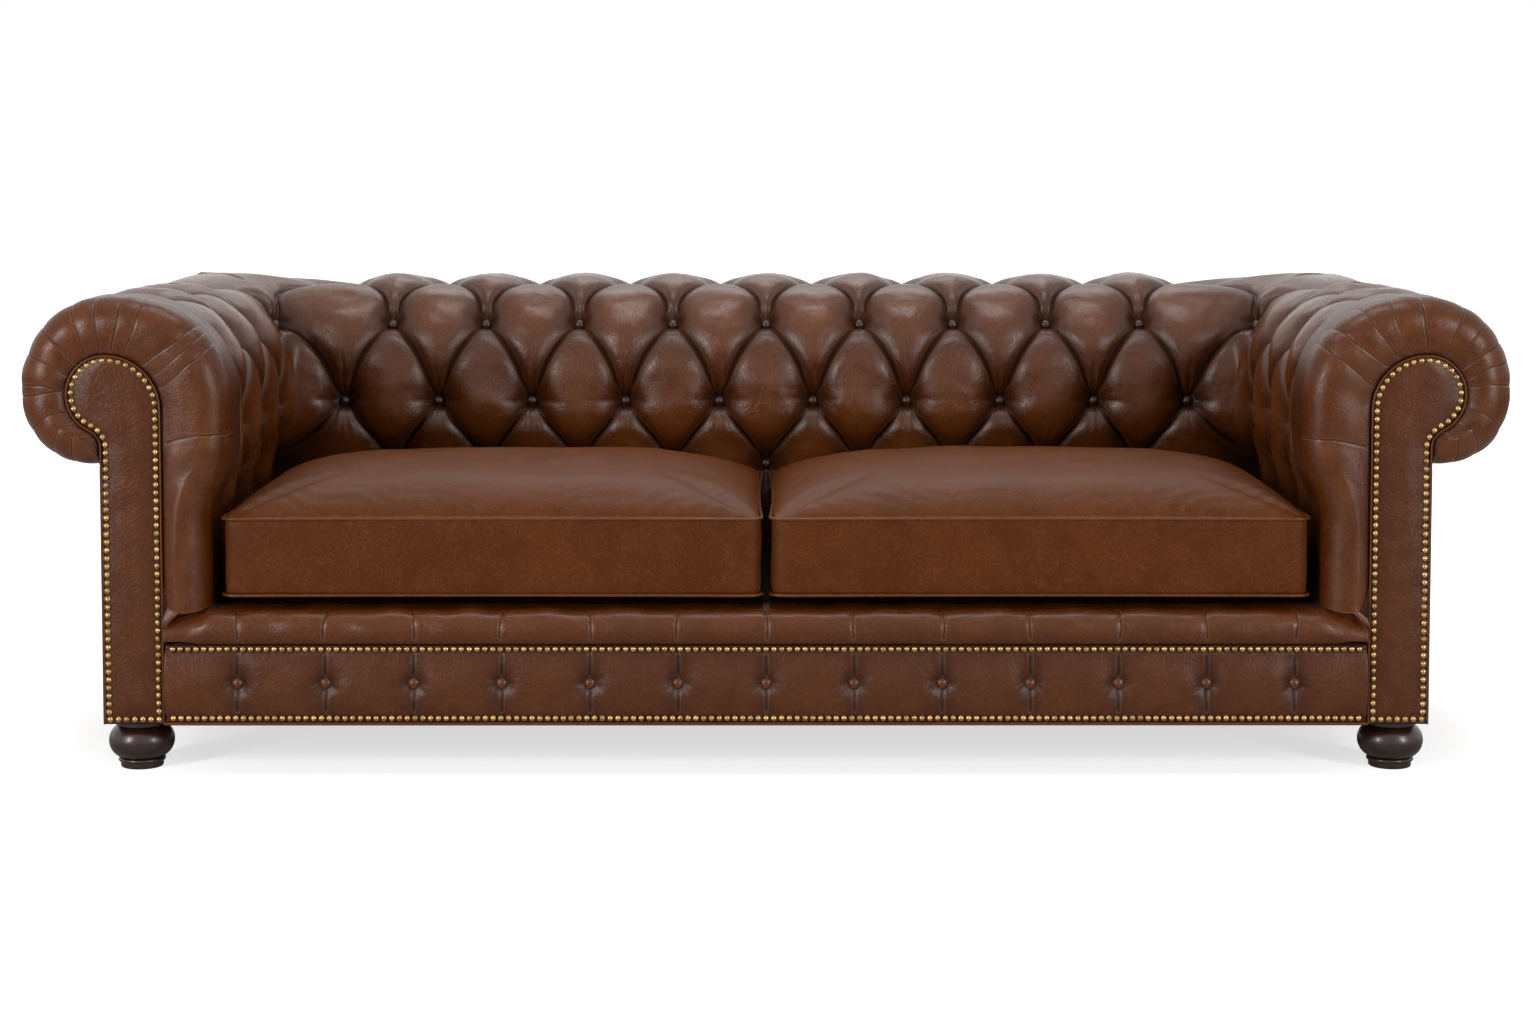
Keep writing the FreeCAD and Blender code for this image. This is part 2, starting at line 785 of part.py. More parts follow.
# Wooden frame
SIDE_RAIL_X = "inside_half_length + tack_line_out - leather_panel - 1 - rail_thickness"
SIDE_FACE = "inside_half_length + tack_line_out - leather_panel - 1"
RAIL_BACK = f"({BOARD_FRONT}) + front_board"
REAR_RAIL_Y = f"({BACK_PANEL_Y}) - 1 - rail_thickness"
REAR_FACE = f"({BACK_PANEL_Y}) - 1"
BACK_FACE_Y = "overall_depth / 2 - (overall_length / 2 - inside_half_length)"
FRONT_RAIL_END = "inside_half_length + facing_inner_out + 3"
RAIL_HEIGHT = "rail_top - rail_bottom"
POST_HEIGHT = "top_rail_bottom - rail_top"
TOP_RAIL_HEIGHT = "top_rail_top - top_rail_bottom"

keep("front_seat_rail", board(
    "front_seat_rail", (f"-({FRONT_RAIL_END})", BOARD_FRONT, "rail_bottom"),
    (f"2 * ({FRONT_RAIL_END})", "front_board", RAIL_HEIGHT)))
keep("rear_seat_rail", board(
    "rear_seat_rail", (f"-({SIDE_FACE})", REAR_RAIL_Y, "rail_bottom"),
    (f"2 * ({SIDE_FACE})", "rail_thickness", RAIL_HEIGHT)))
right_side = keep("right_side_rail", board(
    "right_side_rail", (SIDE_RAIL_X, RAIL_BACK, "rail_bottom"),
    ("rail_thickness", f"({REAR_RAIL_Y}) - ({RAIL_BACK})", RAIL_HEIGHT)))
mirrored("left_side_rail", right_side)

stretchers = []
for place in (-1, 0, 1):
    stretchers.append(board(
        f"seat_stretcher_{place + 2}",
        (f"{place} * stretcher_spacing - stretcher_size / 2", RAIL_BACK, "rail_bottom + stretcher_rise"),
        ("stretcher_size", f"({REAR_RAIL_Y}) - ({RAIL_BACK})", "stretcher_size")))
group("seat_stretchers", stretchers)

rear_posts = []
for place, corner in (("left", f"-({SIDE_FACE})"), ("right", f"{SIDE_FACE} - post_size")):
    rear_posts.append(board(
        place + "_rear_post", (corner, f"({REAR_RAIL_Y}) - post_size", "rail_top"),
        ("post_size", "post_size", POST_HEIGHT)))
group("rear_posts", rear_posts)

inner_posts = []
for side in (-1, 1):
    inner_posts.append(board(
        f"inner_post_{side + 2}",
        (f"{side} * stretcher_spacing - post_size / 2", f"({REAR_FACE}) - post_size", "rail_top"),
        ("post_size", "post_size", POST_HEIGHT)))
group("back_inner_posts", inner_posts)

right_top = keep("right_arm_top_rail", board(
    "right_arm_top_rail", ("inside_half_length + top_rail_in", RAIL_BACK, "top_rail_bottom"),
    (f"{SIDE_FACE} - inside_half_length - top_rail_in",
     f"({BACK_FACE_Y}) + top_rail_in - ({RAIL_BACK})", TOP_RAIL_HEIGHT)))
mirrored("left_arm_top_rail", right_top)
keep("back_top_rail", board(
    "back_top_rail", (f"-({SIDE_FACE})", f"({BACK_FACE_Y}) + top_rail_in", "top_rail_bottom"),
    (f"2 * ({SIDE_FACE})", f"({REAR_FACE}) - ({BACK_FACE_Y}) - top_rail_in", TOP_RAIL_HEIGHT)))

STAY_WIDTH = "top_rail_in - 2 - lower_face_set_out"
STAY_END = "inside_half_length + lower_face_set_out"
STAY_FRONT = f"({BACK_FACE_Y}) - inside_half_length / columns_to_corner * columns_on_arm + 1"
POST_REACH = f"({SIDE_RAIL_X}) - ({STAY_END}) - ({STAY_WIDTH})"
stays = [board("back_stay", (f"-({STAY_END})", f"({BACK_FACE_Y}) + lower_face_set_out", "rail_top + 17"),
               (f"2 * ({STAY_END})", STAY_WIDTH, "cover_bottom - rail_top - 17"))]
for place, corner, post in (
        ("left", f"-({STAY_END} + {STAY_WIDTH})", f"-({SIDE_RAIL_X})"),
        ("right", STAY_END, f"{STAY_END} + {STAY_WIDTH}")):
    stays.append(board(
        place + "_stay", (corner, STAY_FRONT, "rail_top"),
        (STAY_WIDTH, f"({REAR_FACE}) - ({STAY_FRONT})", "cover_bottom - rail_top")))
    stays.append(board(
        place + "_stay_post", (post, f"({STAY_FRONT}) + 5", "rail_bottom + stretcher_rise"),
        (POST_REACH, "stay_post_width", "cover_bottom - rail_bottom - stretcher_rise")))
group("stay_rails", stays)

# Corner blocks, feet and the bolts that hold them
foot_spots = []
for end, spot_y in (("front", "-overall_depth / 2 + foot_set_in_front"),
                    ("rear", "overall_depth / 2 - foot_set_in_rear")):
    foot_spots.append((end + "_left", "-foot_centre_out", spot_y))
    foot_spots.append((end + "_right", "foot_centre_out", spot_y))

blocks, bolts, nuts, cloth_bores = [], [], [], []
for name, spot_x, spot_y in foot_spots:
    block_x = SIDE_RAIL_X + " - block_size" if name.endswith("right") else f"-({SIDE_RAIL_X})"
    block_y = RAIL_BACK if name.startswith("front") else f"({REAR_RAIL_Y}) - block_size"
    block = board(name + "_block", (block_x, block_y, "rail_bottom"),
                  ("block_size", "block_size", "block_height"))
    bore = rod(name + "_block_bore", (spot_x, spot_y, "rail_bottom"), "bolt_across + 2.5", "block_height")
    blocks.append(drilled(name + "_corner_block", block, [bore]))
    bolts.append(rod(name + "_bolt", (spot_x, spot_y, "foot_height - bolt_in_foot"),
                     "bolt_across", "bolt_length"))
    block_top = "rail_bottom + block_height"
    flange = rod(name + "_flange", (spot_x, spot_y, block_top), "nut_flange_across", "nut_flange")
    barrel = rod(name + "_barrel", (spot_x, spot_y, block_top + " - nut_barrel"),
                 "bolt_across + 2.4", "nut_barrel + nut_flange / 2")
    shell = doc.addObject("Part::Fuse", name + "_nut_shell")
    shell.Base = flange
    shell.Tool = barrel
    thread = rod(name + "_nut_bore", (spot_x, spot_y, "rail_bottom + block_height / 2"),
                 "bolt_across + 0.1", "block_height")
    nuts.append(drilled(name + "_tee_nut", shell, [thread]))
    cloth_bores.append(rod(name + "_cloth_bore", (spot_x, spot_y, "foot_height"),
                           "bolt_across + 4", "2 * (rail_bottom - foot_height)"))
group("corner_blocks", blocks)
group("foot_bolts", bolts)
group("foot_tee_nuts", nuts)
cloth = board("dust_cloth", (f"-({SIDE_FACE})", BOARD_FRONT, "foot_height"),
              (f"2 * ({SIDE_FACE})", f"({REAR_FACE}) - ({BOARD_FRONT})", "rail_bottom - foot_height"))
keep("dust_cover", drilled("dust_cover", cloth, cloth_bores))


def foot(name, spot_x, spot_y):
    """A turned bun foot: base, bead, bulb and collar, with a blind bore for its bolt."""
    body = doc.addObject("PartDesign::Body", name)
    profile = body.newObject("Sketcher::SketchObject", name + "_profile")
    plane = [part for part in body.Origin.OriginFeatures if part.Role == "XZ_Plane"][0]
    profile.AttachmentSupport = (plane, [""])
    profile.MapMode = "FlatFace"
    base, bulb, collar = mm("foot_base_across") / 2, mm("foot_across") / 2, mm("foot_collar_across") / 2
    top, bore, depth = mm("foot_height"), mm("bolt_across") / 2 + 0.2, mm("bolt_in_foot") + 4
    edge, bead_low, bead_high, neck = 3, 9, 16, 10
    bead = (bead_high - bead_low) / 2
    bends = [
        ((base - edge, 0), (base - 0.3 * edge, 0.3 * edge), (base, edge)),
        ((base, bead_low), (base + bead, bead_low + bead), (base, bead_high)),
        ((base, bead_high), (bulb, top * 0.6), (collar - edge, top - neck)),
    ]
    corners = [
        ((0, 0), (base - edge, 0)), ((base, edge), (base, bead_low)),
        ((collar - edge, top - neck), (collar, top - neck + 1)), ((collar, top - neck + 1), (collar, top)),
        ((collar, top), (bore, top)), ((bore, top), (bore, top - depth)),
        ((bore, top - depth), (0, top - depth)), ((0, top - depth), (0, 0)),
    ]
    for points in bends:
        arc = Part.Arc(*[Vector(out, up, 0) for out, up in points])
        profile.addGeometry(arc)
    for start, end in corners:
        profile.addGeometry(Part.LineSegment(Vector(*start, 0), Vector(*end, 0)))
    turning = body.newObject("PartDesign::Revolution", name + "_turning")
    turning.Profile = profile
    turning.ReferenceAxis = (profile, ["V_Axis"])
    turning.Angle = 360
    body.setExpression("Placement.Base.x", bound(spot_x))
    body.setExpression("Placement.Base.y", bound(spot_y))
    return body


for name, spot_x, spot_y in foot_spots:
    keep(name + "_foot", foot(name + "_foot", spot_x, spot_y))


# Seat springs, their clips and the deck
CLIP_FRONT = BOARD_Y + mm("front_board") / 2
CLIP_REAR = BACK_FACE + mm("tack_line_out") - mm("leather_panel") - 1 - mm("rail_thickness") / 2


def zigzag(across):
    """One flat zigzag spring from the front rail to the rear rail."""
    legs = int(mm("spring_legs"))
    start, step = CLIP_FRONT, (CLIP_REAR - CLIP_FRONT) / legs
    reach = mm("spring_reach")
    height = mm("spring_up")
    edges = []
    for leg in range(legs + 1):
        side = 1 if leg % 2 else -1
        depth = start + leg * step
        near, far = Vector(-side * reach, depth, height), Vector(side * reach, depth, height)
        edges.append(Part.LineSegment(near, far).toShape())
        if leg < legs:
            bulge = Vector(side * (reach + step / 2), depth + step / 2, height)
            edges.append(Part.Arc(far, bulge, Vector(side * reach, depth + step, height)).toShape())
    return piped(Part.Wire(edges), across)


spring = zigzag(mm("spring_wire"))
offsets = [(index - (mm("spring_count") - 1) / 2) * mm("spring_spacing")
           for index in range(int(mm("spring_count")))]
feature("seat_springs", Part.makeCompound([spring.translated(Vector(x, 0, 0)) for x in offsets]))


def spring_clip(along, depth):
    """A folded steel clip on a rail, round the end leg of a spring."""
    length, width = mm("clip_length"), mm("clip_width")
    corner = Vector(along - length / 2, depth - width / 2, mm("rail_top"))
    block = Part.makeBox(length, width, mm("clip_height"), corner)
    start = Vector(along - length, depth, mm("spring_up"))
    bore = Part.makeCylinder(mm("spring_wire") / 2 + 0.3, 2 * length, start, Vector(1, 0, 0))
    return block.cut(bore)


clips = [spring_clip(x, y) for x in offsets for y in (CLIP_FRONT, CLIP_REAR)]
feature("spring_clips", Part.makeCompound(clips))

DECK_FRONT = "-overall_depth / 2 + 4 + lip_depth + 1"
DECK_X = "inside_half_length + lower_face_set_out - 3"
DECK_DEPTH = f"({BACK_FACE_Y}) + lower_face_set_out - 2 - ({DECK_FRONT})"
keep("seat_hessian", board(
    "seat_hessian", (f"-({DECK_X})", DECK_FRONT, "rail_top + 16"),
    (f"2 * ({DECK_X})", DECK_DEPTH, "hessian_thickness")))
keep("seat_deck_pad", board(
    "seat_deck_pad", (f"-({DECK_X})", DECK_FRONT, "rail_top + 18"),
    (f"2 * ({DECK_X})", DECK_DEPTH, "lip_top - rail_top - 18")))

# Webbing straps behind the pads
straps = []
STRAP_OUT = f"{STAY_END} + {STAY_WIDTH}"
STRAP_BOTTOM, STRAP_HEIGHT = "rail_top + 17", "top_rail_top - rail_top - 17"
for index in range(8):
    straps.append(board(
        f"back_strap_{index + 1}",
        (f"{index - 3.5} * back_strap_spacing - strap_width / 2",
         f"({BACK_FACE_Y}) + top_rail_in - strap_thickness", STRAP_BOTTOM),
        ("strap_width", "strap_thickness", STRAP_HEIGHT)))
for side, corner in (("left", f"-({STRAP_OUT} + strap_thickness)"), ("right", STRAP_OUT)):
    for index in range(3):
        straps.append(board(
            f"{side}_arm_strap_{index + 1}",
            (corner, f"{index - 1.5} * arm_strap_spacing - strap_width / 2", STRAP_BOTTOM),
            ("strap_thickness", "strap_width", STRAP_HEIGHT)))
group("webbing", straps)


# Seat cushions
class Cushion:
    """A boxed cushion between two plan corners, with a crown on top and a belly below."""

    def __init__(self, left, right, front, rear):
        self.left, self.right, self.front, self.rear = left, right, front, rear

    def prism(self, inset, bottom, height):
        """The drawn-in plan with round corners, standing on a height."""
        left, right = self.left + inset, self.right - inset
        front, rear = self.front + inset, self.rear - inset
        draw = mm("cushion_draw_in")
        middle_x, middle_y = (left + right) / 2, (front + rear) / 2
        plan = [(left, front), (middle_x, front + draw), (right, front), (right - draw, middle_y),
                (right, rear), (middle_x, rear - draw), (left, rear), (left + draw, middle_y), (left, front)]
        sides = joined(lambda x, y: Vector(x, y, bottom), plan)
        block = Part.Face(Part.Wire(sides)).extrude(Vector(0, 0, height))
        uprights = [edge for edge in block.Edges if abs(edge.tangentAt(edge.FirstParameter).z) > 0.99]
        return block.makeFillet(mm("cushion_corner") - inset, uprights)

    def surface(self, across, seam, rise, offset):
        """Depth and height pairs over the cushion at a share of its width."""
        power = mm("cushion_fullness")
        fall = abs(2 * across - 1) ** power
        pairs = []
        for along in (0, 0.07, 0.18, 0.5, 0.82, 0.93, 1):
            swell = rise * (1 - abs(2 * along - 1) ** power) * (1 - fall)
            pairs.append((self.front + along * (self.rear - self.front), seam + swell + offset))
        return pairs

    def slab(self, lower, upper):
        """A lofted solid between two swollen surfaces, each a seam height, a rise and an offset."""
        wires = []
        for across in (0, 0.05, 0.14, 0.3, 0.5, 0.7, 0.86, 0.95, 1):
            plane = side_plane(self.left + across * (self.right - self.left))
            top = self.surface(across, *upper)
            bottom = self.surface(across, *lower)[::-1]
            edges = joined(plane, top)
            edges.append(Part.LineSegment(plane(*top[-1]), plane(*bottom[0])).toShape())
            edges += joined(plane, bottom)
            edges.append(Part.LineSegment(plane(*bottom[-1]), plane(*top[0])).toShape())
            wires.append(Part.Wire(edges))
        return ruled(wires)

    def piping(self, seam):
        """A cord round the plan, just outside the leather."""
        half = mm("piping_across") / 2
        edges = self.prism(-half - 0.1, seam, 10).Faces
        floor = min(edges, key=lambda face: face.CenterOfMass.z)
        return piped(floor.OuterWire, mm("piping_across"))


def cushion_shapes(cushion):
    """The foam, the leather panels, the border strip and the piping of one cushion."""
    low, high = mm("cushion_seam_low"), mm("cushion_seam_high")
    crown, sag = mm("cushion_crown"), -mm("cushion_sag")
    skin = mm("cushion_leather")
    tall = crown - sag + high - low + 20
    plan = cushion.prism(0, low + sag - 5, tall)
    core = cushion.prism(skin + 0.1, low + sag - 5, tall)
    foam = core.common(cushion.slab((low, sag, skin + 0.1), (high, crown, -skin - 0.1)))
    top = plan.common(cushion.slab((high, crown, -skin), (high, crown, 0)))
    bottom = plan.common(cushion.slab((low, sag, 0), (low, sag, skin)))
    wall = high - low - 2 * skin - 0.4
    outside = cushion.prism(0, low + skin + 0.2, wall)
    inside = cushion.prism(skin, low + skin - 5, wall + 10)
    cords = Part.makeCompound([cushion.piping(seam) for seam in (low + 1, high - 1)])
    return {"foam": foam, "top": top, "border": outside.cut(inside), "bottom": bottom, "piping": cords}


margin = mm("piping_across") + 0.2
cushion_front = FRONT + mm("cushion_set_back")
right_cushion = Cushion(mm("cushion_gap") / 2 + margin, mm("cushion_side_out") - margin,
                        cushion_front + margin, cushion_front + mm("cushion_depth") - margin)
for piece, shape in cushion_shapes(right_cushion).items():
    solid = shape.Solids[0] if len(shape.Solids) == 1 else shape
    mirrored("left_cushion_" + piece, feature("right_cushion_" + piece, solid))

# Recompute, check every object and write one file for each node
doc.recompute()
for shown in doc.Objects:
    if "Invalid" in shown.State or "Error" in shown.State:
        raise RuntimeError(f"{shown.Name} failed: {shown.State}")
for shown in subparts:
    if shown.Shape.isNull() or not shown.Shape.isValid() or not shown.Shape.Solids:
        raise RuntimeError(f"{shown.Label} has no valid solid")
os.makedirs("parts", exist_ok=True)
for shown in subparts:
    shown.Shape.exportStep(f"parts/{shown.Label}.step")
    box = shown.Shape.BoundBox
    corners = [round(side, 1) for side in (box.XMin, box.YMin, box.ZMin, box.XMax, box.YMax, box.ZMax)]
    print(f"{shown.Label}: {len(shown.Shape.Solids)} solids, {len(shown.Shape.Faces)} faces, {corners}")
print(len(subparts), "nodes")
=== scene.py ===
"""Looks of the chesterfield sofa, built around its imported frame."""

import math

import bmesh
import bpy
import numpy as np
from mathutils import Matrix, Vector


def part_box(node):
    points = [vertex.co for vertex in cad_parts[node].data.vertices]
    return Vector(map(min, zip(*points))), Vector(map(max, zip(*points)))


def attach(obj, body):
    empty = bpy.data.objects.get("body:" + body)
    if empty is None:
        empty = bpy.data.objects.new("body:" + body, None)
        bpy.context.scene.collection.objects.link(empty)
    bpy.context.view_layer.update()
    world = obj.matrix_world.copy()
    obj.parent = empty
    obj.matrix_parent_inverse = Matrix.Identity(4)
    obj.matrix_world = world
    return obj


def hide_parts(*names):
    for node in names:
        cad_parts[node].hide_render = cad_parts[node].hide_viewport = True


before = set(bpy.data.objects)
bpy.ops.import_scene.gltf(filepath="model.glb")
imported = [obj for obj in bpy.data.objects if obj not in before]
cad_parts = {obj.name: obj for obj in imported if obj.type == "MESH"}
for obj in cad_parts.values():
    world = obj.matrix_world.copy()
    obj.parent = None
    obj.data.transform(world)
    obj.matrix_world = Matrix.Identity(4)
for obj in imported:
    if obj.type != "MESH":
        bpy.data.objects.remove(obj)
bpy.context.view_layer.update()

MM = 0.001  # shapes are worked out in millimetres
PITCH = 165.6  # between the buttons of a row
INSIDE = 828  # from the middle to where an arm's outlines start
BACK_FACE = 153  # where the back's outline starts
FAN = PITCH / 2  # reach of the fan fold in each inside corner
ARM_END = BACK_FACE - 3 * PITCH  # front end of the buttoned arm pads
FRONT = -475  # foremost leather of the arms
PAD = 46  # thickness of the buttoned pads
ROWS = np.array([165, 290.6, 455.4, 607.1])  # rows of buttons, along the roll's outline
STEPS = 44  # mesh columns for each pitch of the buttons
BORDER_PITCH = 136.3  # between the buttons of the front border
BORDER_END = 929.5  # from the middle to the border's end
BORDER_BEND = 6.5  # pitches from the middle within which the border is quilted


def add(name, data):
    """A new object in the scene, at the origin."""
    made = bpy.data.objects.new(name, data)
    bpy.context.collection.objects.link(made)
    return made


def make_camera():
    """A camera at the photograph's place, a little above the sofa's back."""
    camera = bpy.data.cameras.new("camera")
    camera.sensor_width = 36
    camera.lens = 65.57
    camera.shift_y = -0.12
    eye = add("camera", camera)
    eye.location = (0, -4.743, 0.977)
    eye.rotation_euler = (math.radians(90 - 3.79), 0, math.radians(-0.04))
    bpy.context.scene.camera = eye


make_camera()


# Materials
BLACK_STOP, WHITE = (0, 0, 0, 1), (1, 1, 1, 1)


class Value:
    """An output of a shader node. Sums on it add their own Math nodes."""

    def __init__(self, nodes, socket):
        self.nodes = nodes
        self.socket = socket

    def __add__(self, other):
        return self.nodes.maths("ADD", self, other)

    __radd__ = __add__

    def __sub__(self, other):
        return self.nodes.maths("SUBTRACT", self, other)

    def __rsub__(self, other):
        return self.nodes.maths("SUBTRACT", other, self)

    def __mul__(self, other):
        return self.nodes.maths("MULTIPLY", self, other)

    __rmul__ = __mul__


class Nodes:
    """The nodes of a material or of the world."""

    def __init__(self, tree):
        self.tree = tree
        self.tree.nodes.clear()

    def node(self, kind, settings=None, inputs=None, output=0):
        """A node: its settings come first, then its sockets by name or number."""
        made = self.tree.nodes.new(kind)
        for name, setting in (settings or {}).items():
            if name == "stops":
                for index, (position, colour) in enumerate(setting):
                    stops = made.color_ramp.elements
                    stop = stops[index] if index < 2 else stops.new(position)
                    stop.position = position
                    stop.color = colour
            else:
                setattr(made, name, setting)
        for name, value in (inputs or {}).items():
            if isinstance(value, Value):
                self.tree.links.new(value.socket, made.inputs[name])
            else:
                made.inputs[name].default_value = value
        return Value(self, made.outputs[output]) if made.outputs else None

    def maths(self, operation, *values):
        return self.node("ShaderNodeMath", {"operation": operation}, dict(enumerate(values)))


class Finish(Nodes):
    """A material and the nodes it is made of."""

    def __init__(self, name):
        self.material = bpy.data.materials.new(name)
        self.material.use_nodes = True
        super().__init__(self.material.node_tree)
        self.place = self.node("ShaderNodeTexCoord", output="Object")

    def stretched(self, scale, turn=(0, 0, 0)):
        """The object's coordinates with each axis scaled, and then turned."""
        return self.node("ShaderNodeMapping", None,
                         {"Vector": self.place, "Scale": scale, "Rotation": turn})

    def noise(self, scale, detail=4.0, rough=0.55, place=None, distortion=0.0):
        return self.node("ShaderNodeTexNoise", None, {
            "Vector": place or self.place, "Scale": scale, "Detail": detail,
            "Roughness": rough, "Distortion": distortion}, "Fac")

    def cells(self, scale, place=None):
        """How far a place is from the nearest edge of a net of cells."""
        return self.node("ShaderNodeTexVoronoi", {"feature": "DISTANCE_TO_EDGE"},
                         {"Vector": place or self.place, "Scale": scale}, "Distance")

    def waves(self, scale, direction, distortion=0.0, place=None, detail=2.0, detail_scale=1.0):
        return self.node("ShaderNodeTexWave", {"bands_direction": direction}, {
            "Vector": place or self.place, "Scale": scale, "Distortion": distortion,
            "Detail": detail, "Detail Scale": detail_scale}, "Fac")

    def mark(self, name):
        """A value that the mesh carries at its vertices."""
        return self.node("ShaderNodeAttribute", {"attribute_name": name}, output="Fac")

    def between(self, value, low, high):
        """A smooth step from 0 at low to 1 at high."""
        return self.node("ShaderNodeMapRange", {"interpolation_type": "SMOOTHSTEP"},
                         {"Value": value, "From Min": low, "From Max": high}, "Result")

    def mix(self, factor, first, second):
        return self.node("ShaderNodeMix", {"data_type": "RGBA"},
                         {0: factor, 6: first, 7: second}, 2)

    def bump(self, height, distance, strength, under=None):
        inputs = {"Height": height, "Distance": distance, "Strength": strength}
        if under:
            inputs["Normal"] = under
        return self.node("ShaderNodeBump", None, inputs, "Normal")

    def surface(self, **sockets):
        """Close the material with its main shader. Underscores stand for spaces."""
        inputs = {name.replace("_", " "): value for name, value in sockets.items()}
        shader = self.node("ShaderNodeBsdfPrincipled", None, inputs, "BSDF")
        return self.output(shader)

    def output(self, shader):
        self.node("ShaderNodeOutputMaterial", None, {"Surface": shader})
        return self.material


def rgb(colour, share=1.0):
    """A colour socket's value, from a colour and how much of it is left."""
    return (*(share * side for side in colour), 1)


# Colour of wear, also used for the painted highlight beside the creases
WEAR_AND_HIGHLIGHT = (0.27, 0.110, 0.040)
# Colours of painted shade in creases and pits, and of dark specks in the hide
PAINTED_SHADE, SPECK_DARK = (0.007, 0.0025, 0.0015), (0.050, 0.015, 0.006)
# Stops of a pale line beside each crease: part wear, part painted highlight on the fold's shoulder
PALE_RIM_WEAR_AND_HIGHLIGHT = ((0.0, BLACK_STOP), (0.50, BLACK_STOP), (0.66, WHITE), (0.78, BLACK_STOP))


def leather(name, hide, wear_and_highlight=WEAR_AND_HIGHLIGHT, grain=1.0, veins=1.0, gloss=0.26, shine=0.26):
    """Waxed hide: painted shade darkens its creases, pits and marked edges, a pale line beside the
    creases is part wear and part painted highlight, and it shows pale wear where it is rubbed.
    """
    finish = Finish(name)
    clouds = finish.noise(7, 3, 0.5)
    blotches = finish.noise(26, 4, 0.6, distortion=0.6)
    speckle = finish.noise(420, 2, 0.7)
    drift = finish.node("ShaderNodeTexNoise", None,
                        {"Vector": finish.place, "Scale": 70.0, "Detail": 3.0}, "Color")
    wander = finish.node("ShaderNodeVectorMath", {"operation": "MULTIPLY_ADD"},
                         {0: drift, 1: (0.014, 0.014, 0.014), 2: finish.place})
    crackle = finish.cells(120, wander)
    pebbles = finish.cells(620)
    # Marks from the meshes: crease and pit carry painted shade, crease also the pale line beside
    # the folds, and rubbed is wear
    crease, pit, rubbed = (finish.mark(mark) for mark in ("crease", "pit", "rubbed"))

    cloudy = finish.between(clouds + 0.6 * blotches, 0.62, 0.95)
    base = finish.mix(cloudy, rgb(hide, 0.84), rgb(hide))
    vein = 1 - finish.between(crackle, 0.0, 0.08)
    vein = vein * finish.between(speckle + blotches, 0.70, 1.20)
    base = finish.mix(vein * (0.24 * veins), base, rgb(wear_and_highlight))
    base = finish.mix(rubbed * (0.05 + 0.22 * blotches), base, rgb(wear_and_highlight))
    # Part wear, part painted highlight: a pale line beside each crease
    rim_wear_and_highlight = finish.node("ShaderNodeValToRGB", {"stops": PALE_RIM_WEAR_AND_HIGHLIGHT}, {"Fac": crease}, "Color")
    base = finish.mix(rim_wear_and_highlight * (0.10 + 1.3 * speckle * blotches), base, rgb(wear_and_highlight))
    # Painted shade: the crease and pit marks mix the hide towards near black
    shade = finish.maths("MAXIMUM", finish.between(crease, 0.74, 0.97) * 0.86, pit * 0.9)
    base = finish.mix(shade, base, rgb(PAINTED_SHADE))
    base = finish.mix(finish.between(speckle, 0.60, 0.80) * 0.20, base, rgb(SPECK_DARK))

    rough = gloss + 0.16 * (blotches - 0.5) + 0.12 * (speckle - 0.5)
    rough = rough + 0.14 * shade - 0.05 * rubbed
    coarse = finish.bump(finish.noise(75, 3, 0.5, distortion=0.4), 1.1 * MM, 0.22 * grain)
    fine = finish.bump(finish.between(pebbles, 0.0, 0.25), 0.10 * MM, 0.5 * grain, coarse)
    cracked = finish.bump(finish.between(crackle, 0.0, 0.06), 0.22 * MM, 0.5 * veins, fine)
    return finish.surface(Base_Color=base, Roughness=rough, Normal=cracked,
                          Specular_IOR_Level=shine)


# One leather in several tones: the tufted hide is set lighter as painted light for the back's
# highlights, and the panel hide darker as painted shade
TUFTED = leather("tufted_leather", (0.108, 0.0245, 0.0026), gloss=0.24, shine=0.36)
BAND = leather("band_leather", (0.098, 0.0215, 0.0020), veins=0.8)
PANEL = leather("panel_leather", (0.086, 0.018, 0.0012), veins=0.8)
CUSHION = leather("cushion_leather", (0.104, 0.0255, 0.0035), grain=1.2, gloss=0.44, shine=0.10)
PIPING = leather("piping_leather", (0.135, 0.036, 0.007), veins=0.3)
BUTTON = leather("button_leather", (0.036, 0.011, 0.005), (0.16, 0.08, 0.05), veins=0.3, shine=0.4)
BORDER_BUTTON = leather("border_button_leather", (0.110, 0.027, 0.005), veins=0.3, shine=0.4)


def brass():
    finish = Finish("antique_brass")
    tarnish = finish.between(finish.noise(130, 3, 0.6), 0.35, 0.7)
    spots = finish.noise(900, 2, 0.5)
    base = finish.mix(tarnish, rgb((0.58, 0.36, 0.155)), rgb((0.25, 0.14, 0.055)))
    base = finish.mix(finish.between(spots, 0.58, 0.75) * 0.6, base, rgb((0.03, 0.018, 0.01)))
    return finish.surface(Base_Color=base, Roughness=0.20 + 0.16 * tarnish, Metallic=0.92,
                          Normal=finish.bump(spots, 0.08 * MM, 0.4))


def wood(name, light, deep, gloss, coat, figure, scale, turn=(0, 0, 0)):
    """Straight grained wood. Its grain runs along the axis that is scaled least."""
    finish = Finish(name)
    rings = finish.waves(1.2, "X", 5.5, finish.stretched(scale, turn), 3, 1.3)
    pores = finish.noise(9, 5, 0.7, finish.stretched(tuple(9 * side for side in scale), turn))
    clouds = finish.noise(5, 3, 0.5)
    base = finish.mix(rings * figure + clouds * 0.4, rgb(light), rgb(deep))
    base = finish.mix(finish.between(pores, 0.56, 0.72) * 0.6, base, rgb(deep, 0.45))
    return finish.surface(Base_Color=base, Roughness=gloss + 0.14 * pores - (0.1 * figure) * rings,
                          Coat_Weight=coat, Coat_Roughness=0.18,
                          Normal=finish.bump(pores, 0.12 * MM, 0.35))


